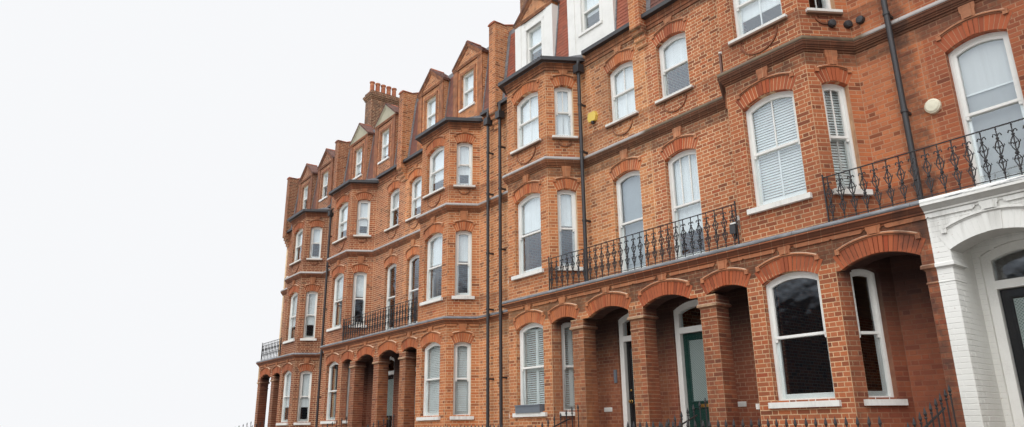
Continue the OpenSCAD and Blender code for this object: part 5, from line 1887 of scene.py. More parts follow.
@dataclass
class Mouldings:
    """Moulded brick and lead that run along the front, and the hood moulds and swags of the windows."""

    faces: list[WallFace]
    hood_out: float = 0.045
    hood_h: float = 0.06
    hood_reach: float = 0.13
    block_w: float = 0.23
    bay_band_h: float = 0.2
    eaves_band_h: float = 0.25

    def bands(self) -> None:
        """Runs the cornice, the string courses and their lead along the front."""
        top = ROW.first_z - ROW.deck_t
        low = top - ROW.cornice_h
        cornice = MeshWork()
        cornice.sweep(ROW.band(True), [
            (0, low + 0.03), (0.018, low + 0.03), (0.022, low + 0.06), (0.05, low + 0.066),
            (0.056, low + 0.09), (0.075, low + 0.1), (0.095, low + 0.12), (0.11, low + 0.135),
            (0.128, top - 0.014), (0.147, top - 0.006), (0.147, top + 0.028), (0, top + 0.028)])
        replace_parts(cornice.piece("moulded_cornice", RUBBED), "ground_cornice")
        high = ROW.second_z - 0.1
        low = high - 0.2
        strings = MeshWork()
        strings.sweep(ROW.band(False), [
            (0, low + 0.05), (0.02, low + 0.05), (0.024, low + 0.085), (0.05, low + 0.09),
            (0.054, low + 0.115), (0.07, low + 0.12), (0.076, low + 0.14), (0.095, low + 0.15),
            (0.11, high - 0.01), (0.122, high), (0.122, high + 0.032), (0, high + 0.032)])
        for path, base, tall in self.eaves_paths():
            strings.sweep(path, [(0, base), (0.025, base), (0.025, base + tall * 0.3),
                                 (0.045, base + tall * 0.36), (0.045, base + tall * 0.62),
                                 (0.06, base + tall * 0.7), (0.07, base + tall * 0.8),
                                 (0.07, base + tall), (0, base + tall)])
        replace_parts(strings.piece("moulded_strings", RUBBED), "brick_strings")
        lead = MeshWork()
        for path, foot, head, roll in ((ROW.band(True), top, top + ROW.deck_t, 0.14),
                                       (ROW.band(False), high, high + 0.1, 0.12)):
            lead.sweep(path, [(0, foot + 0.026), (roll + 0.004, foot + 0.026), (roll + 0.01, foot + 0.036),
                              (roll + 0.013, foot + 0.05), (roll + 0.01, foot + 0.066),
                              (roll + 0.003, foot + 0.083), (roll - 0.01, head + 0.003),
                              (roll - 0.05, head + 0.004), (0, head + 0.004)])
        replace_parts(lead.piece("lead_rolls", LEAD), "lead_flashings")

    def eaves_paths(self) -> list[tuple[list[Point], float, float]]:
        """Gives the bands under the eaves.

        Returns:
            The path, the foot and the height of each.
        """
        made = []
        half = ROW.party_t / 2
        for house in ROW.houses:
            corners = ROW.corners(house, -1)[::-1] + ROW.corners(house, 1)
            made.append((corners, ROW.bay_top_z - self.bay_band_h, self.bay_band_h))
            ends = (ROW.line(house) + half, ROW.front), (ROW.line(house + 1) - half, ROW.front)
            for path in ([ends[0], corners[0]], [corners[-1], ends[1]]):
                made.append((path, ROW.eaves_z - self.eaves_band_h, self.eaves_band_h))
        return made

    def hoods(self) -> None:
        """Bends a hood mould over each arch, with its block up to the band above, and hangs the swags."""
        hoods, swags = MeshWork(), MeshWork()
        for face in self.faces:
            for hole in face.openings:
                if hole.ring:
                    self.hood(hoods, face, hole)
                if hole.use is Use.WINDOW and hole.storey == 2:
                    self.swag(swags, face.place(), hole)
        self.strips(hoods)
        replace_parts(hoods.piece("moulded_hoods", HOOD_BRICK), "hood_moulds")
        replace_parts(swags.piece("moulded_swags", RUBBED), "swags")

    def strips(self, work: MeshWork) -> None:
        """Lays raised strips under the cornice, from block to block.

        Args:
            work: The mesh that they are added to.
        """
        clear = self.block_w / 2 + 0.06
        level = CORNICE_SKIP[0]
        for face in self.faces:
            mids = sorted(hole.mid for hole in face.openings
                          if hole.ring and self.top_over(face, hole) == level)
            if not mids:
                continue
            stops = [-clear, *mids, face.length + clear]
            for left, right in zip(stops, stops[1:]):
                if right - left > 2 * clear + 0.15:
                    start, end = left + clear, right - clear
                    outline = [(start, level - 0.05), (start + 0.03, level - 0.072),
                               (end - 0.03, level - 0.072), (end, level - 0.05), (end, level - 0.01),
                               (start, level - 0.01)]
                    work.prism(face.place(), outline, -0.03, 0)

    def top_over(self, face: WallFace, hole: Opening) -> float:
        """Gives the level of the band over an opening.

        Args:
            face: The wall face.
            hole: The opening.

        Returns:
            Height of the underside of the band.
        """
        if hole.use is Use.ARCH or hole.storey == 0:
            return CORNICE_SKIP[0]
        if hole.storey == 1:
            return STRING_SKIP[0]
        in_bay = face.length < ROW.bay_face_w + 0.01 and hole.width != ROW.flat_win_w
        return ROW.bay_top_z - self.bay_band_h if in_bay else ROW.eaves_z - self.eaves_band_h

    def hood(self, work: MeshWork, face: WallFace, hole: Opening) -> None:
        """Makes one hood mould with its block.

        Args:
            work: The mesh that it is added to.
            face: The wall face.
            hole: The opening under it.
        """
        place = face.place()
        up = hole.ring
        profile = [(0, 0), (0.02, 0.0), (0.026, 0.012), (self.hood_out, 0.022), (self.hood_out, 0.044),
                   (0.02, self.hood_h), (0, self.hood_h)]
        angle = math.atan((hole.width / 2 + self.hood_reach * 0.55) / (hole.radius + up))
        work.arc(place, hole, up, profile, angle)
        for side in (-1, 1):
            x = hole.mid + side * (hole.radius + up) * math.sin(angle)
            z = hole.centre_z + (hole.radius + up) * math.cos(angle)
            work.box(place, (x - 0.025 - 0.02 * (side < 0), -self.hood_out * 0.9, z - 0.035),
                     (x + 0.025 + 0.02 * (side > 0), 0, z + 0.05))
        crown = hole.spring + hole.rise + up + self.hood_h * 0.6
        top = self.top_over(face, hole)
        half = self.block_w / 2
        tall = top - crown
        if tall > 0.02:
            steps = [(half * 0.82, crown), (half * 0.82, crown + tall * 0.45),
                     (half * 0.92, crown + tall * 0.55), (half, crown + tall * 0.7), (half, top)]
            outline = [(hole.mid + x, z) for x, z in steps] + [(hole.mid - x, z) for x, z in steps[::-1]]
            work.prism(place, outline, -self.hood_out, 0)
            left, right = hole.mid - half * 0.5, hole.mid + half * 0.5
            panel = [(left, crown + 0.01), (right, crown + 0.01), (right, top - 0.01), (left, top - 0.01)]
            work.prism(place, panel, -self.hood_out - 0.012, -self.hood_out)

    def swag(self, work: MeshWork, place: Matrix, hole: Opening) -> None:
        """Hangs one moulded swag with curled ends under a sill.

        Args:
            work: The mesh that it is added to.
            place: Frame of the wall face.
            hole: The window over it.
        """
        half = hole.width * 0.4
        top = hole.foot - 0.15
        drop = (half * 0.5 - 0.03) * 1.8
        curl_r = 0.035
        path = [(hole.mid - (half - 0.03) * math.cos(a), top - drop * math.sin(a))
                for a in (math.pi * k / 16 for k in range(17))]
        for side, end in ((-1, path[0]), (1, path[-1])):
            curl = [(end[0] - side * curl_r * (1 - math.cos(a)), end[1] + curl_r * math.sin(a))
                    for a in (math.pi * k / 5 for k in range(6))]
            work.strap(place @ Matrix.Translation((0, -0.008, 0)), curl, 0.018, 0.022)
        work.strap(place @ Matrix.Translation((0, -0.012, 0)), path, 0.032, 0.03)


@dataclass
class Ironwork:
    """Cast balusters over the arcade and spear headed railings along the street and the steps."""

    rail_h: float = 0.78
    spacing: float = 0.19
    rail_y: float = 0.86
    street_spacing: float = 0.135
    spear_h: float = 0.15
    step_rail_h: float = 0.88 * 1.15

    @staticmethod
    def scroll(mid: Point, radius: float, start: float, sweep: float, tail: float = 0.45) -> list[Point]:
        """Draws a curl that winds inwards.

        Args:
            mid: Centre of the curl.
            radius: Radius at its outer end.
            start: Angle of its outer end, in radians.
            sweep: Angle that it turns through.
            tail: Share of the radius that is left at its inner end.

        Returns:
            The points of the curl.
        """
        steps = 8
        made = []
        for k in range(steps + 1):
            share = k / steps
            r = radius * (1 - share * (1 - tail))
            a = start + sweep * share
            made.append((mid[0] + r * math.cos(a), mid[1] + r * math.sin(a)))
        return made

    def baluster(self) -> MeshWork:
        """Makes one cast baluster: a bar with a lozenge of four scrolls, knops and a leafy finial.

        Returns:
            The baluster, with its foot at the origin.
        """
        work = MeshWork()
        here = Matrix()
        work.strap(here, [(0, 0), (0, self.rail_h)], 0.013, 0.013)
        for low, high, wide in ((0.36, 0.6, 0.052), (0.13, 0.33, 0.046)):
            mid = low + (high - low) * (0.5 if low > 0.3 else 0.64)
            for side in (-1, 1):
                tip = side * wide
                bow = [(0, low), (tip * 0.62, low + (mid - low) * 0.5), (tip, mid),
                       (tip * 0.62, high - (high - mid) * 0.5), (0, high)]
                work.strap(here, bow, 0.012, 0.014)
                curl = self.scroll((tip * 0.5, mid), wide * 0.36, math.pi * (0.5 - side * 0.5), side * 4.4)
                work.strap(here, curl, 0.009, 0.01)
                leaf = [(tip * 0.9, mid), (tip + side * 0.018, mid + 0.012),
                        (tip + side * 0.012, mid + 0.034)]
                work.strap(here, leaf, 0.009, 0.01)
        for z, size in ((0.115, 0.019), (0.345, 0.026), (0.61, 0.021), (0.48, 0.015)):
            knop = [(0.002, z - size), (size, z - size * 0.45), (size, z + size * 0.45), (0.002, z + size)]
            work.lathe(here, knop, 6)
        for side in (-1, 1):
            leaf = [(0, 0.635), (side * 0.022, 0.672), (side * 0.042, 0.676), (side * 0.052, 0.652)]
            work.strap(here, leaf, 0.013, 0.012)
            berry = [(0.002, 0.636), (0.011, 0.648), (0.002, 0.662)]
            work.lathe(Matrix.Translation((side * 0.052, 0, 0)), berry, 5)
        top = self.rail_h
        bud = [(0.003, top - 0.05), (0.014, top - 0.035), (0.006, top - 0.015), (0.001, top - 0.01)]
        work.lathe(here, bud, 6)
        return work

    def balconies(self) -> None:
        """Sets the balusters and rails of every balcony."""
        course = Course("balcony_balusters", self.baluster(), IRON, 0.01, 5)
        rails = MeshWork()
        y = ROW.front - self.rail_y
        for left, right in ROW.porches:
            left += 0.02 if left > ROW.line(0) + 0.5 else ROW.party_t / 2
            right -= 0.02
            count = round((right - left) / self.spacing)
            for k in range(count):
                course.lay(Vector((left + (k + 0.5) * (right - left) / count, y, ROW.first_z)), (0, 0, 0))
            rails.box(Matrix(), (left, y - 0.014, ROW.first_z + self.rail_h - 0.012),
                      (right, y + 0.014, ROW.first_z + self.rail_h))
            rails.box(Matrix(), (left, y - 0.008, ROW.first_z + 0.05), (right, y + 0.008, ROW.first_z + 0.06))
            for x in (left + 0.012, right - 0.012):
                post = [(0, 0), (0, self.rail_h + 0.05)]
                rails.strap(Matrix.Translation((x, y, ROW.first_z)), post, 0.02, 0.02)
        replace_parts(course.piece(), "balcony_rails")
        rails.piece("balcony_rail_bars", IRON)

    def spear(self, tall: float) -> MeshWork:
        """Makes one railing bar with a spear head.

        Args:
            tall: Height to the tip.

        Returns:
            The bar, with its foot at the origin.
        """
        work = MeshWork()
        neck = tall - self.spear_h
        work.lathe(Matrix(), [(0.011, 0), (0.011, neck)], 6)
        work.lathe(Matrix(), [(0.011, neck), (0.02, neck + 0.008), (0.02, neck + 0.02), (0.009, neck + 0.03),
                              (0.024, neck + 0.062), (0.016, neck + 0.1), (0.001, neck + self.spear_h)], 6)
        return work

    def railings(self) -> None:
        """Sets the railings along the street and beside the steps."""
        lo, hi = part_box("front_railings")
        tall = hi.z - lo.z
        street = Course("street_railing_bars", self.spear(tall), IRON, 0.006, 9)
        rails = MeshWork()
        y = (lo.y + hi.y) / 2
        for left, right in spans_of("front_railings"):
            count = round((right - left) / self.street_spacing)
            for k in range(count + 1):
                street.lay(Vector((left + 0.01 + k * (right - left - 0.02) / count, y, lo.z)), (0, 0, 0))
            for z in (0.1, tall - 0.23):
                rails.box(Matrix(), (left, y - 0.009, lo.z + z), (right, y + 0.009, lo.z + z + 0.022))
        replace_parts(street.piece(), "front_railings")
        lo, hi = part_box("step_rails")
        drop = hi.z - lo.z - self.step_rail_h
        run = hi.y - lo.y - 0.018
        slope = math.atan2(drop, run)
        steps = Course("step_railing_bars", self.spear(self.step_rail_h), IRON, 0.006, 11)
        for left, right in spans_of("step_rails"):
            x, y = (left + right) / 2, hi.y - 0.009
            for k in range(10):
                share = k / 9
                steps.lay(Vector((x, y - share * run, ROW.ground_z - share * drop)), (0, 0, 0))
            place = Matrix.Translation((x, y, ROW.ground_z)) @ Matrix.Rotation(slope, 4, "X")
            for z in (0.1, self.step_rail_h - 0.23):
                level = z * math.cos(slope)
                rails.box(place, (-0.009, -math.hypot(run, drop), level), (0.009, 0, level + 0.022))
        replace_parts(steps.piece(), "step_rails")
        rails.piece("railing_bars", IRON)


@dataclass
class Roofing:
    """Tiles on the steep slopes and dormers, lead at the party walls, dormer fronts and rounded copings."""

    tile_w: float = 0.165
    gauge: float = 0.1
    tile_t: float = 0.014
    dormer_u: float = 1.17
    dormer_w: float = 1.68
    dormer_eaves: float = 2.25
    gable_h: float = 0.66
    roof_over: float = 0.06
    window_w: float = 0.7
    window_h: float = 1.24
    window_sill: float = 0.6
    pier_w: float = 0.26
    seed: int = 40

    def tile(self) -> MeshWork:
        """Makes one plain tile that hangs from its top edge, one metre wide and tall.

        Returns:
            The tile.
        """
        work = MeshWork()
        corners = [(-0.5, -0.3, 0.0), (0.5, -0.3, 0.0), (0.5, 0.0, 0.0), (-0.5, 0.0, 0.0),
                   (-0.5, -1.0, -1.0), (0.5, -1.0, -1.0), (0.5, -0.3, -1.0), (-0.5, -0.3, -1.0)]
        work.add(Matrix(), corners, [(0, 1, 2, 3), (4, 7, 6, 5), (4, 5, 1, 0), (7, 3, 2, 6), (4, 0, 3, 7),
                                     (5, 6, 2, 1)])
        return work

    def hang(self, course: Course, place: Matrix, width: float, height: float, dice: random.Random) -> None:
        """Hangs tiles over a rectangle, in courses with broken joints.

        Args:
            course: The tiles.
            place: Frame of the rectangle: x along it, y into it, z up it.
            width: Its width.
            height: Its height, from z = 0.
            dice: Source of the small differences.
        """
        turn = place.to_euler()
        rows = round(height / self.gauge)
        for row in range(1, rows + 1):
            shift = self.tile_w / 2 if row % 2 else 0.0
            x = -shift
            while x < width - 0.02:
                a, b = max(x, 0.0), min(x + self.tile_w, width)
                if b - a > 0.03:
                    size = (b - a - 0.004, self.tile_t * dice.uniform(0.85, 1.2), self.gauge * 1.06)
                    spot = place @ Vector(((a + b) / 2, 0, row * height / rows))
                    course.lay(spot, turn, size, dice.random())
                x += self.tile_w

    def slope_cuts(self, house: int) -> list[float]:
        """Gives the stretches of slope beside and between the dormers of a house.

        Args:
            house: Number of the house.

        Returns:
            Left and right end of each stretch, in one row.
        """
        half = ROW.party_t / 2
        mid = (ROW.line(house) + ROW.line(house + 1)) / 2
        edges = [mid + s * self.dormer_u + t * self.dormer_w / 2 for s in (-1, 1) for t in (-1, 1)]
        return [ROW.line(house) + half, *edges, ROW.line(house + 1) - half]

    @staticmethod
    def facing(x: float, side: int, z: float = 0.0) -> Matrix:
        """Gives the frame of a wall face of the row: side 1 is the street front, side -1 the rear."""
        wall = ROW.front if side > 0 else ROW.front + ROW.depth
        return Matrix.Translation((x, wall, z)) @ Matrix.Rotation(0 if side > 0 else math.pi, 4, "Z")

    def slopes(self) -> None:
        """Tiles the steep slopes, and lays lead beside the party walls and dormers."""
        dice = random.Random(self.seed)
        tall = ROW.roof_z - ROW.attic_z
        tilt = Matrix.Rotation(-math.atan2(ROW.slope_back, tall), 4, "X")
        length = math.hypot(ROW.slope_back, tall)
        lead = MeshWork()
        for name, side in (("front", 1), ("rear", -1)):
            course = Course(f"{name}_slope_tiles", self.tile(), TILE, 0.006, 21)
            for house in ROW.houses:
                cuts = self.slope_cuts(house)
                for left, right in zip(cuts[::2], cuts[1::2]):
                    place = self.facing(left if side > 0 else right, side, ROW.attic_z) @ tilt
                    self.hang(course, place, right - left, length, dice)
                    for edge, at_party in ((0.0, left == cuts[0]), (right - left, right == cuts[-1])):
                        wide = 0.13 if at_party == (side > 0) else 0.05
                        self.flash(lead, place, edge - wide if edge else 0.0, wide, length)
            course.piece()
        lead.piece("slope_flashings", LEAD)

    @staticmethod
    def flash(work: MeshWork, place: Matrix, start: float, wide: float, length: float) -> None:
        """Lays a strip of lead up a slope, in six lapped lengths.

        Args:
            work: The mesh that it is added to.
            place: Frame of the slope.
            start: Left edge of the strip.
            wide: Its width.
            length: Length of the slope.
        """
        for k in range(6):
            work.box(place, (start, -0.024 - 0.004 * (k % 2), k * length / 6),
                     (start + wide, 0.0, (k + 1) * length / 6))

    def dormer_roofs(self) -> None:
        """Tiles the roofs of the dormers and caps their ridges."""
        dice = random.Random(self.seed + 1)
        course = Course("dormer_tiles", self.tile(), TILE, 0.006, 23)
        ridges = MeshWork()
        slope = math.atan2(self.gable_h, self.dormer_w / 2)
        half = self.dormer_w / 2 + self.roof_over
        run = math.hypot(self.gable_h, self.dormer_w / 2) + self.roof_over / math.cos(slope)
        deep = ROW.slope_back + 0.15 + 2 * self.roof_over
        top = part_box("dormer_roofs")[1].z
        ridge = [(-0.09, -0.07), (0.09, -0.07), (0.08, -0.03), (0.045, -0.004), (0, 0.0), (-0.045, -0.004),
                 (-0.08, -0.03)]
        for mid, wall, side in self.dormer_spots():
            y0, y1 = sorted((wall - side * self.roof_over, wall + side * (deep - self.roof_over)))
            for s in (-1, 1):
                foot = Vector((mid + s * half, 0, top - half * math.tan(slope)))
                place = (Matrix.Translation((foot.x, y0 if s > 0 else y1, foot.z - 0.012)) @
                         Matrix.Rotation(s * math.pi / 2, 4, "Z") @
                         Matrix.Rotation(slope - math.pi / 2, 4, "X"))
                self.hang(course, place, deep, run * 0.97, dice)
            step = (y1 - y0) / 2
            for k in range(2):
                ends = y0 + k * step + 0.004, y0 + (k + 1) * step - 0.004
                ridges.prism(Matrix.Translation((mid, 0, top)), ridge, *ends)
        course.piece()
        ridges.piece("ridge_tiles", COPING)

    def dormer_spots(self) -> list[tuple[float, float, int]]:
        """Finds every dormer.

        Returns:
            The middle, the wall line and the side (1 front, -1 rear) of each.
        """
        made = []
        for house in ROW.houses:
            mid = (ROW.line(house) + ROW.line(house + 1)) / 2
            for u in (-self.dormer_u, self.dormer_u):
                made += [(mid + u, ROW.front, 1), (mid + u, ROW.front + ROW.depth, -1)]
        return made

    def dormer_fronts(self) -> None:
        """Dresses the dormer fronts with piers, sills, raking mouldings and a string under each gable."""
        brick, white, stone = MeshWork(), MeshWork(), MeshWork()
        half, jamb, pier = self.dormer_w / 2, self.window_w / 2, self.dormer_w / 2 - self.pier_w
        foot = ROW.attic_z
        base = foot + self.dormer_eaves
        sill = foot + self.window_sill
        head = sill + self.window_h
        for mid, _, side in self.dormer_spots():
            house = math.floor((mid - ROW.line(0)) / ROW.house_w)
            place = self.facing(mid, side)
            painted = house == PALE_DORMER_HOUSE
            trim = white if painted else brick
            for s in (-1, 1):
                trim.box(place, (s * half, -0.03, foot), (s * pier, 0, base - 0.12))
                trim.box(place, (s * jamb, -0.018, sill), (s * (jamb + 0.1), 0, head + 0.1))
            if painted:
                white.box(place, (-pier, -0.012, foot), (pier, 0, sill - 0.04))
                for s in (-1, 1):
                    white.box(place, (s * pier, -0.012, sill - 0.04), (s * (jamb + 0.1), 0, base - 0.12))
                    white.box(place, (s * half, -0.03, foot), (s * (half + 0.012), 0.36, base - 0.12))
            trim.box(place, (-jamb - 0.1, -0.022, head), (jamb + 0.1, 0, head + 0.1))
            white.box(place, (-jamb - 0.09, -0.055, sill - 0.07), (jamb + 0.09, 0.06, sill))
            brick.box(place, (-half - 0.02, -0.045, base - 0.12), (half + 0.02, 0, base - 0.07))
            brick.box(place, (-half - 0.03, -0.055, base - 0.07), (half + 0.03, 0, base - 0.02))
            self.rakes(stone if house == STONE_DORMER_HOUSE else brick, place, base)
            if house == STONE_DORMER_HOUSE:
                gable = [(-half + 0.12, base - 0.02), (half - 0.12, base - 0.02), (0, base + 0.5)]
                stone.prism(place, gable, -0.014, 0)
        brick.piece("dormer_brick_trim", RUBBED)
        white.piece("dormer_white_trim", WHITE)
        stone.piece("dormer_stone_rakes", WORN_STONE)

    def rakes(self, work: MeshWork, place: Matrix, base: float) -> None:
        """Runs a moulding of three steps up both slopes of a gable.

        Args:
            work: The mesh that it is added to.
            place: Frame of the dormer front.
            base: Level of the foot of the gable.
        """
        slope = math.atan2(self.gable_h, self.dormer_w / 2)
        peak = Vector((0, base + self.gable_h - 0.01))
        for s in (-1, 1):
            foot = Vector((s * (self.dormer_w / 2 + 0.04), base - 0.04))
            normal = Vector((s * math.sin(slope), math.cos(slope)))
            for low, high, out in ((-0.02, 0.025, 0.05), (-0.075, -0.02, 0.032), (-0.11, -0.075, 0.018)):
                quad = [foot + normal * low, foot + normal * high, peak + Vector((0, high / math.cos(slope))),
                        peak + Vector((0, low / math.cos(slope)))]
                work.prism(place, [tuple(p) for p in quad[::-1]], -out, 0)

    def copings(self) -> None:
        """Lays rounded coping bricks along the tops of the party walls."""
        work = MeshWork()
        dice = random.Random(self.seed + 2)
        lo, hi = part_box("party_copings")
        half = ROW.party_t / 2 + 0.03
        flat, run = 0.1, 0.4
        head, top = ROW.upstand_z - 0.15, ROW.upstand_z
        rear = ROW.front + ROW.depth
        line = [(lo.y, head), (ROW.front + flat, head), (ROW.front + flat + run, top),
                (rear - flat - run, top), (rear - flat, head), (hi.y, head)]
        section = [(-half, 0), (half, 0), (half, 0.02), (half * 0.82, 0.05), (half * 0.4, 0.066), (0, 0.069),
                   (-half * 0.4, 0.066), (-half * 0.82, 0.05), (-half, 0.02)]
        for house in range(len(ROW.bay_right) + 1):
            x = ROW.line(house)
            for (y0, z0), (y1, z1) in zip(line, line[1:]):
                length = math.hypot(y1 - y0, z1 - z0)
                count = max(1, round(length / ROW.stretcher))
                for k in range(count):
                    rings = []
                    for share in (k / count, (k + 1) / count - 0.006 / max(length, 0.1)):
                        y, z = y0 + (y1 - y0) * share, z0 + (z1 - z0) * share
                        rings.append([(x - px, y, z + pz) for px, pz in section])
                    work.loft(Matrix(), rings, dice.random())
        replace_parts(work.piece("rounded_copings", COPING_BRICK), "party_copings")


class Cover(Enum):
    """What hangs behind the glass of a window."""

    CLEAR = "nothing"
    ROLLER = "a roller blind"
    SLATS = "a blind of slats"
    SHUTTERS = "louvred shutters"
    CURTAIN = "a curtain in folds"


@dataclass(frozen=True)
class Dressing:
    """How a window is dressed: its cover, the share of it that is covered and its upright glazing bars."""

    cover: Cover = Cover.CLEAR
    share: float = 1.0
    upper_bars: int = 0
    lower_bars: int = 0
    net: bool = False


CLEAR = Dressing()
SHORT_BLIND = Dressing(Cover.ROLLER, 0.44)
LONG_BLIND = Dressing(Cover.ROLLER, 0.7)
BARRED_BLIND = Dressing(Cover.ROLLER, 1.0, 1, 1)
BARRED_SLATS = Dressing(Cover.SLATS, 1.0, 1, 1)
DRESSINGS: tuple[tuple[Dressing, ...], ...] = (
    (LONG_BLIND, LONG_BLIND, SHORT_BLIND, SHORT_BLIND, CLEAR),
    (CLEAR, SHORT_BLIND, CLEAR, LONG_BLIND, SHORT_BLIND),
    (Dressing(Cover.SLATS), SHORT_BLIND, CLEAR, LONG_BLIND, LONG_BLIND),
    (Dressing(Cover.SHUTTERS), SHORT_BLIND, Dressing(net=True), BARRED_BLIND, BARRED_BLIND),
    (CLEAR, BARRED_SLATS, Dressing(Cover.CURTAIN, 0.75, 2), Dressing(Cover.ROLLER, 0.7, 1, 1), SHORT_BLIND),
    (CLEAR, BARRED_SLATS, Dressing(Cover.ROLLER, 0.34, net=True), LONG_BLIND, SHORT_BLIND),
)
ATTIC_BLINDS = (0.4, 0.8, 1.0, 0.6, 0.5, 0.0)


@dataclass
class Joinery:
    """Glazing bars, horns and beads of the sashes, and the blinds and shutters behind them."""

    faces: list[WallFace]
    reveal: float = 0.11
    frame_w: float = 0.055
    sash_w: float = 0.048
    glass_y: float = 0.162
    slat_pitch: float = 0.05
    roll_w: float = 1.8

    def windows(self) -> Iterable[tuple[WallFace, Opening]]:
        """Goes through the street windows.

        Yields:
            Each window with its wall face.
        """
        for face in self.faces:
            for hole in face.openings:
                if hole.use is Use.WINDOW:
                    yield face, hole

    def bars(self) -> None:
        """Adds glazing bars, horns and the outer beads of the frames."""
        work = MeshWork()
        for face, hole in self.windows():
            place = face.place()
            half = hole.width / 2 - self.frame_w
            mid = (hole.foot + hole.spring + hole.rise) / 2
            for s in (-1, 1):
                x0, x1 = sorted((hole.mid + s * half, hole.mid + s * (half - self.sash_w)))
                horn = [(x0, mid - 0.024), (x0 + 0.006, mid - 0.075), (x1 - 0.006, mid - 0.075),
                        (x1, mid - 0.024)]
                work.prism(place, horn, self.glass_y - 0.04, self.glass_y - 0.001)
                work.box(place, (hole.mid + s * (half + 0.004), self.reveal - 0.012, hole.foot),
                         (hole.mid + s * (half + 0.03), self.reveal, hole.spring))
            work.box(place, (hole.mid - half, self.glass_y - 0.046, mid - 0.02),
                     (hole.mid + half, self.glass_y - 0.034, mid + 0.012))
            dressing = self.dressing(face, hole)
            top = hole.spring + hole.rise - 0.09
            for count, y, low, high in ((dressing.upper_bars, self.glass_y - 0.02, mid, top),
                                        (dressing.lower_bars, self.glass_y + 0.006, hole.foot + 0.12, mid)):
                for k in range(count):
                    x = hole.mid - half + (k + 1) * 2 * half / (count + 1)
                    work.box(place, (x - 0.011, y, low), (x + 0.011, y + 0.02, high))
        work.piece("sash_details", WHITE)

    @staticmethod
    def dressing(face: WallFace, hole: Opening) -> Dressing:
        """Gives how a window is dressed."""
        row = DRESSINGS[face.house]
        return row[0] if hole.storey == 0 else row[2 * hole.storey - 1 + (hole.width == ROW.flat_win_w)]

    @staticmethod
    def attic_blinds(work: MeshWork) -> None:
        """Hangs the blinds of the dormers on the street side.

        Args:
            work: The mesh that they are added to.
        """
        for mid, wall, side in Roofing().dormer_spots():
            share = ATTIC_BLINDS[math.floor((mid - ROW.line(0)) / ROW.house_w)]
            if side > 0 and share:
                low = ROW.attic_z + 1.8 - 1.16 * share
                spot = Matrix.Translation((mid, wall, 0))
                work.box(spot, (-0.32, 0.17, low), (0.32, 0.174, ROW.attic_z + 1.82))

    @staticmethod
    def sheet(hole: Opening, low: float) -> list[Point]:
        """Draws the part of an opening over one level, a little smaller than the glass."""
        return [p for p in hole.outline(low, 0.02) if p[1] >= low]

    @staticmethod
    def curtain(work: MeshWork, place: Matrix, ends: Point, low: float, top: float) -> None:
        """Hangs a curtain in folds.

        Args:
            work: The mesh that it is added to.
            place: Frame of the wall face.
            ends: Its middle and its half width.
            low: Its foot.
            top: Its head.
        """
        mid, half = ends
        rings = []
        for k in range(49):
            x = mid - half + k * half / 24
            y = 0.245 + 0.018 * math.sin(k * 1.9)
            rings.append([(x, y + 0.004, top), (x, y, top), (x, y, low), (x, y + 0.004, low)])
        work.loft(place, rings)

    def covers(self) -> None:
        """Hangs the blinds, curtains and shutters behind the glass."""
        slat = MeshWork()
        slat.prism(Matrix(), [(-0.5, -0.5), (0.5, -0.5), (0.5, 0.5), (-0.5, 0.5)], -0.5, 0.5)
        slats = Course("blind_slats", slat, WHITE, 0.0, 31)
        frames, cloth, nets = MeshWork(), MeshWork(), MeshWork()
        self.attic_blinds(cloth)
        for face, hole in self.windows():
            dressing = self.dressing(face, hole)
            place = face.place()
            top = hole.spring + hole.rise - 0.05
            low = top - (top - hole.foot - 0.04) * dressing.share
            half = hole.width / 2 - 0.02
            if dressing.net:
                nets.prism(place, self.sheet(hole, hole.foot + 0.04), 0.25, 0.253)
            if dressing.cover is Cover.ROLLER:
                cloth.prism(place, self.sheet(hole, low), 0.228, 0.232)
                frames.box(place, (hole.mid - half, 0.222, low - 0.025), (hole.mid + half, 0.236, low))
            elif dressing.cover is Cover.CURTAIN:
                self.curtain(cloth, place, (hole.mid, half), low, top)
            elif dressing.cover is not Cover.CLEAR:
                self.hang_slats(slats, face, hole, low, top, dressing.cover)
                if dressing.cover is Cover.SHUTTERS:
                    self.shutter_frames(frames, place, hole, low, hole.spring)
        slats.piece()
        frames.piece("blind_frames", WHITE)
        for work, name, finish in ((cloth, "blind_cloth", CLOTH), (nets, "net_curtains", NET)):
            piece = work.piece(name, finish)

    def hang_slats(self, slats: Course, face: WallFace, hole: Opening, low: float, top: float,
                   cover: Cover) -> None:
        """Hangs the slats of one blind or one pair of shutters.

        Args:
            slats: The copies of the slat.
            face: The wall face.
            hole: The window.
            low: Foot of the slats.
            top: Head of the slats.
            cover: What they belong to.
        """
        place = face.place()
        count = round((top - low) / self.slat_pitch)
        for k in range(count):
            z = low + (k + 0.5) * (top - low) / count
            half = min(hole.half_opening(z + 0.02) - 0.012, hole.width / 2 - 0.01)
            if half < 0.05:
                continue
            if cover is Cover.SHUTTERS:
                for s in (-1, 1):
                    spot = place @ Vector((hole.mid + s * half / 2, 0.245, z))
                    slats.lay(spot, (math.radians(48), 0, face.turn), (half - 0.09, 0.05, 0.006))
            else:
                slats.lay(place @ Vector((hole.mid, 0.24, z)), (math.radians(66), 0, face.turn),
                          (2 * half, 0.05, 0.003))

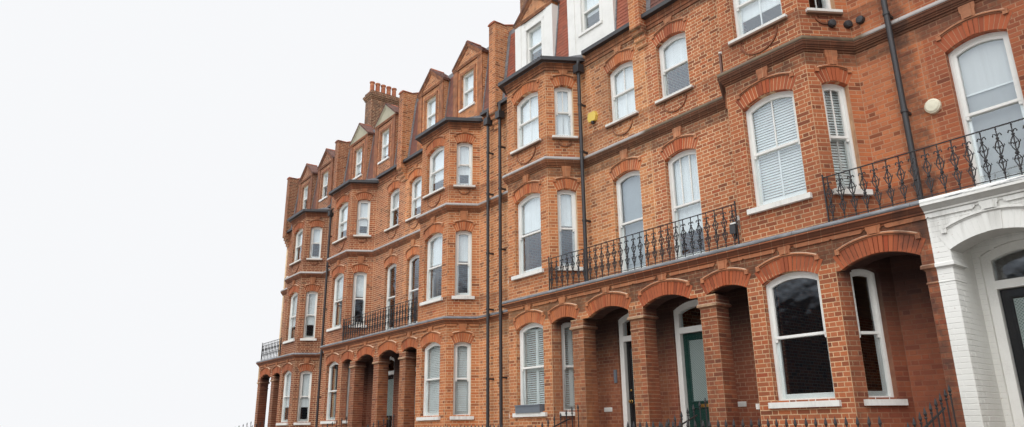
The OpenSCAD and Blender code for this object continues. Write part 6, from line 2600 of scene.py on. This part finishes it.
    @staticmethod
    def shutter_frames(work: MeshWork, place: Matrix, hole: Opening, low: float, high: float) -> None:
        """Frames the two leaves of a pair of shutters.

        Args:
            work: The mesh that they are added to.
            place: Frame of the wall face.
            hole: The window.
            low: Foot of the shutters.
            high: Head of the shutters.
        """
        half = hole.width / 2 - 0.01
        for s in (-1, 1):
            for edge in (0.0, half - 0.045):
                work.box(place, (hole.mid + s * edge, 0.23, low), (hole.mid + s * (edge + 0.045), 0.26, high))
            for z in (low, (low + high) / 2 - 0.03, high - 0.06):
                work.box(place, (hole.mid, 0.232, z), (hole.mid + s * half, 0.258, z + 0.06))


@dataclass
class DoorTrim:
    """Mouldings, pressed glass and brass of the front doors, which turn with them."""

    stile: float = 0.13
    lock_z: float = 0.98
    kick: float = 0.22
    foot: float = 0.01
    set_back: float = 0.14
    field_in: float = 0.09

    def dress(self) -> None:
        """Dresses all six doors."""
        for house in ROW.houses:
            self.door(house)

    def door(self, house: int) -> None:
        """Dresses one door.

        Args:
            house: Number of its house.
        """
        body = f"door_{house + 1}"
        hinge = ROW.across(house, ROW.door_u - ROW.door_w / 2)
        lock = ROW.across(house, ROW.door_u + ROW.door_w / 2)
        place = Matrix.Translation((min(hinge, lock), ROW.front + self.set_back, ROW.ground_z + self.foot))
        trim, glass, brass = MeshWork(), MeshWork(), MeshWork()
        wide = ROW.door_w
        panels = ((self.lock_z, ROW.door_h - self.stile), (self.kick, self.lock_z - self.stile))
        for low, high in panels:
            self.bead(trim, place, (self.stile, low), (wide - self.stile, high))
        glass.box(place, (self.stile + 0.012, 0.006, panels[0][0] + 0.012),
                  (wide - self.stile - 0.012, 0.0115, panels[0][1] - 0.012))
        x0, x1 = self.stile + self.field_in, wide - self.stile - self.field_in
        z0, z1 = self.kick + self.field_in, panels[1][1] - self.field_in
        trim.prism(place, [(x0, z0), (x1, z0), (x1, z1), (x0, z1)], 0.004, 0.012)
        knob_x = wide - self.stile / 2 if lock > hinge else self.stile / 2
        mid = wide / 2
        brass.box(place, (mid - 0.13, -0.006, 0.87), (mid + 0.13, 0.0, 0.93))
        brass.box(place, (mid - 0.105, -0.01, 0.885), (mid + 0.105, -0.006, 0.915))
        stand = Matrix.Rotation(math.pi / 2, 4, "X")
        brass.lathe(place @ Matrix.Translation((knob_x, 0, 1.045)) @ stand,
                    [(0.038, 0), (0.038, 0.004), (0.03, 0.008), (0.014, 0.012), (0.012, 0.04), (0.03, 0.052),
                     (0.034, 0.064), (0.024, 0.076), (0.002, 0.08)], 14)
        brass.lathe(place @ Matrix.Translation((knob_x, 0, 1.28)) @ stand,
                    [(0.024, 0), (0.024, 0.005), (0.016, 0.01), (0.002, 0.011)], 12)
        finish = NODE_FINISHES[body]
        trim.piece(f"door_trim_{house + 1}", finish, body)
        glass.piece(f"door_glass_{house + 1}", OBSCURE, body)
        brass.piece(f"door_brass_{house + 1}", BRASS, body)

    @staticmethod
    def bead(work: MeshWork, place: Matrix, low: Point, high: Point) -> None:
        """Runs a raised moulding round a panel.

        Args:
            work: The mesh that it is added to.
            place: Frame of the door.
            low: Lower left corner of the panel.
            high: Upper right corner of the panel.
        """
        corners = ((low[0], low[1]), (high[0], low[1]), (high[0], high[1]), (low[0], high[1]))
        section = ((0.022, 0.0), (0.018, -0.009), (0.008, -0.012), (0.0, -0.008), (-0.012, 0.004),
                   (-0.012, 0.012))
        signs = ((-1, -1), (1, -1), (1, 1), (-1, 1))
        rings = [[(x + sx * out, y, z + sz * out) for out, y in section[::-1]]
                 for (x, z), (sx, sz) in zip(corners, signs)]
        work.loft(place, rings, closed=True)


# Radii and heights of the caps and of the necking rings of the porch columns
CAP_PROFILE = ((0.184, 3.585), (0.19, 3.6), (0.2, 3.61), (0.206, 3.622), (0.223, 3.632), (0.223, 3.662),
               (0.214, 3.676), (0.204, 3.68))
NECK_PROFILE = ((0.184, 3.395), (0.19, 3.4), (0.192, 3.41), (0.19, 3.42), (0.184, 3.425))


@dataclass
class Fittings:
    """Small things on the walls, and the moulded rings of the porch columns."""

    out: Matrix = field(default_factory=lambda: Matrix.Rotation(math.pi / 2, 4, "X"))

    def boxes(self) -> None:
        """Sets the alarm boxes, vents, overflow pipe, round fittings, lamp and window box."""
        white, cream, yellow, black, grey = (MeshWork() for _ in range(5))
        self.alarms(cream, yellow, black)
        self.vents(white, grey)
        self.overflow()
        self.round_fittings(black)
        self.lamp(black, white)
        spot = Matrix.Translation((ROW.bay_mid(PALE_DORMER_HOUSE), ROW.bay_front, BAY_LEVELS[0][0]))
        grey.box(spot, (-0.46, -0.1, 0.0), (0.46, 0.09, 0.17))
        grey.box(spot, (-0.475, -0.115, 0.15), (0.475, -0.09, 0.18))
        for work, name, finish in ((white, "white_vents", WHITE), (cream, "cream_alarm", CREAM),
                                   (yellow, "yellow_alarm", YELLOW), (black, "black_fittings", BLACK_PIPE),
                                   (grey, "window_box", GREY)):
            work.piece(name, finish)

    def alarms(self, cream: MeshWork, yellow: MeshWork, black: MeshWork) -> None:
        """Sets a round alarm box, and one with six sides and a black cup under it.

        Args:
            cream: The mesh of the round box.
            yellow: The mesh of the other box.
            black: The mesh of the cup.
        """
        spot = Matrix.Translation((ROW.line(PAINTED_HOUSE) + 0.06, ROW.front - 0.02, 6.3))
        cream.lathe(spot @ self.out, [(0.12, -0.02), (0.12, 0.03), (0.09, 0.056), (0.002, 0.064)], 20)
        x = ROW.line(PALE_DORMER_HOUSE) + 4.02
        outline = [(-0.11, -0.12), (0.11, -0.12), (0.15, 0.0), (0.11, 0.12), (-0.11, 0.12), (-0.15, 0.0)]
        yellow.prism(Matrix.Translation((x, ROW.front, 8.95)), outline, -0.09, 0)
        cup = [(0.03, 0), (0.045, 0.03), (0.045, 0.08)]
        black.lathe(Matrix.Translation((x, ROW.front - 0.05, 8.76)), cup, 8)

    @staticmethod
    def vents(white: MeshWork, grey: MeshWork) -> None:
        """Sets two louvred vents and a small grey box low on the walls.

        Args:
            white: The mesh of the vents.
            grey: The mesh of the box.
        """
        for x in (4.05, 7.5):
            white.box(Matrix.Translation((x, ROW.front, 1.9)), (-0.12, -0.02, -0.045), (0.12, 0, 0.045))
            for k in range(3):
                blade = Matrix.Translation((x, ROW.front, 1.875 + 0.022 * k))
                white.box(blade, (-0.105, -0.028, 0), (0.105, -0.02, 0.01))
        grey.box(Matrix.Translation((4.33, ROW.front, 2.6)), (-0.04, -0.03, -0.14), (0.04, 0, 0.14))

    @staticmethod
    def overflow() -> None:
        """Sets the short rusty pipe at the corner of the nearest bay."""
        work = MeshWork()
        corner = Vector((*ROW.corners(NEAR_HOUSE, -1)[0], 0))
        work.lathe(Matrix.Translation(corner) @ Matrix.Translation((-0.06, 0.02, 7.86)),
                   [(0.024, 0), (0.024, 0.56), (0.03, 0.565), (0.03, 0.6)], 10)
        work.piece("rusty_pipe", IronFinish("rusty_pipe", shade(112, 74, 60), 0.8))

    def round_fittings(self, black: MeshWork) -> None:
        """Sets three round fittings over the string: two on the bay's side, one on the flat wall beside it.

        Args:
            black: The mesh that they are added to.
        """
        corner, root = ROW.corners(NEAR_HOUSE, 1)
        along = Vector((*root, 0)) - Vector((*corner, 0))
        turn = Matrix.Rotation(math.atan2(along.y, along.x), 4, "Z")
        start = Vector((*corner, 8.29))
        beside = start + along
        beside.x += 0.2
        profile = [(0.075, -0.02), (0.075, 0.045), (0.06, 0.075), (0.02, 0.08), (0.002, 0.078)]
        spots = ((start + along * 0.62, turn), (start + along * 0.94, turn), (beside, Matrix()))
        for spot, facing in spots:
            black.lathe(Matrix.Translation(spot) @ facing @ self.out, profile, 14)

    @staticmethod
    def lamp(black: MeshWork, white: MeshWork) -> None:
        """Sets the flood lamp on the balcony beside the nearest bay.

        Args:
            black: The mesh of its post and case.
            white: The mesh of its top.
        """
        x = ROW.bay_mid(NEAR_HOUSE) - ROW.bay_face_w / 2 - 0.1
        spot = Matrix.Translation((x, ROW.front - 0.84, ROW.first_z + 0.36))
        black.box(spot, (-0.02, -0.02, -0.22), (0.02, 0.02, 0.1))
        black.prism(spot, [(-0.07, -0.12), (0.05, -0.14), (0.06, 0.03), (-0.06, 0.05)], -0.07, -0.02)
        white.box(spot, (-0.055, -0.05, 0.05), (0.055, 0.03, 0.075))

    @staticmethod
    def columns() -> None:
        """Moulds the caps and necking rings of the columns."""
        work = MeshWork()
        y = ROW.bay_front + ROW.column_w / 2
        for left, right in spans_of("porch_columns", 0.5):
            place = Matrix.Translation(((left + right) / 2, y, 0)) @ Matrix.Rotation(math.pi / 4, 4, "Z")
            for profile in (CAP_PROFILE, NECK_PROFILE):
                work.lathe(place, [(r * math.sqrt(2), z) for r, z in profile], 4)
        work.piece("column_mouldings", CAP_BRICK)


def finish_nodes() -> None:
    """Gives every part of the frame its finish."""
    for name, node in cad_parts.items():
        node.data.materials.clear()
        node.data.materials.append(NODE_FINISHES[name].material())


def main() -> None:
    """Dresses the row, piece by piece."""
    logging.basicConfig(level=logging.INFO, format="%(message)s")
    studio = Studio()
    studio.camera()
    studio.floor()
    studio.light()
    finish_nodes()
    brickwork = Brickwork()
    brickwork.lay()
    brickwork.arches()
    faces = brickwork.faces()
    mouldings = Mouldings(faces)
    mouldings.bands()
    mouldings.hoods()
    ironwork = Ironwork()
    ironwork.balconies()
    ironwork.railings()
    roofing = Roofing()
    roofing.slopes()
    roofing.dormer_roofs()
    roofing.dormer_fronts()
    roofing.copings()
    joinery = Joinery(faces)
    joinery.bars()
    joinery.covers()
    fittings = Fittings()
    fittings.boxes()
    fittings.columns()
    DoorTrim().dress()


if __name__ == "__main__":
    main()
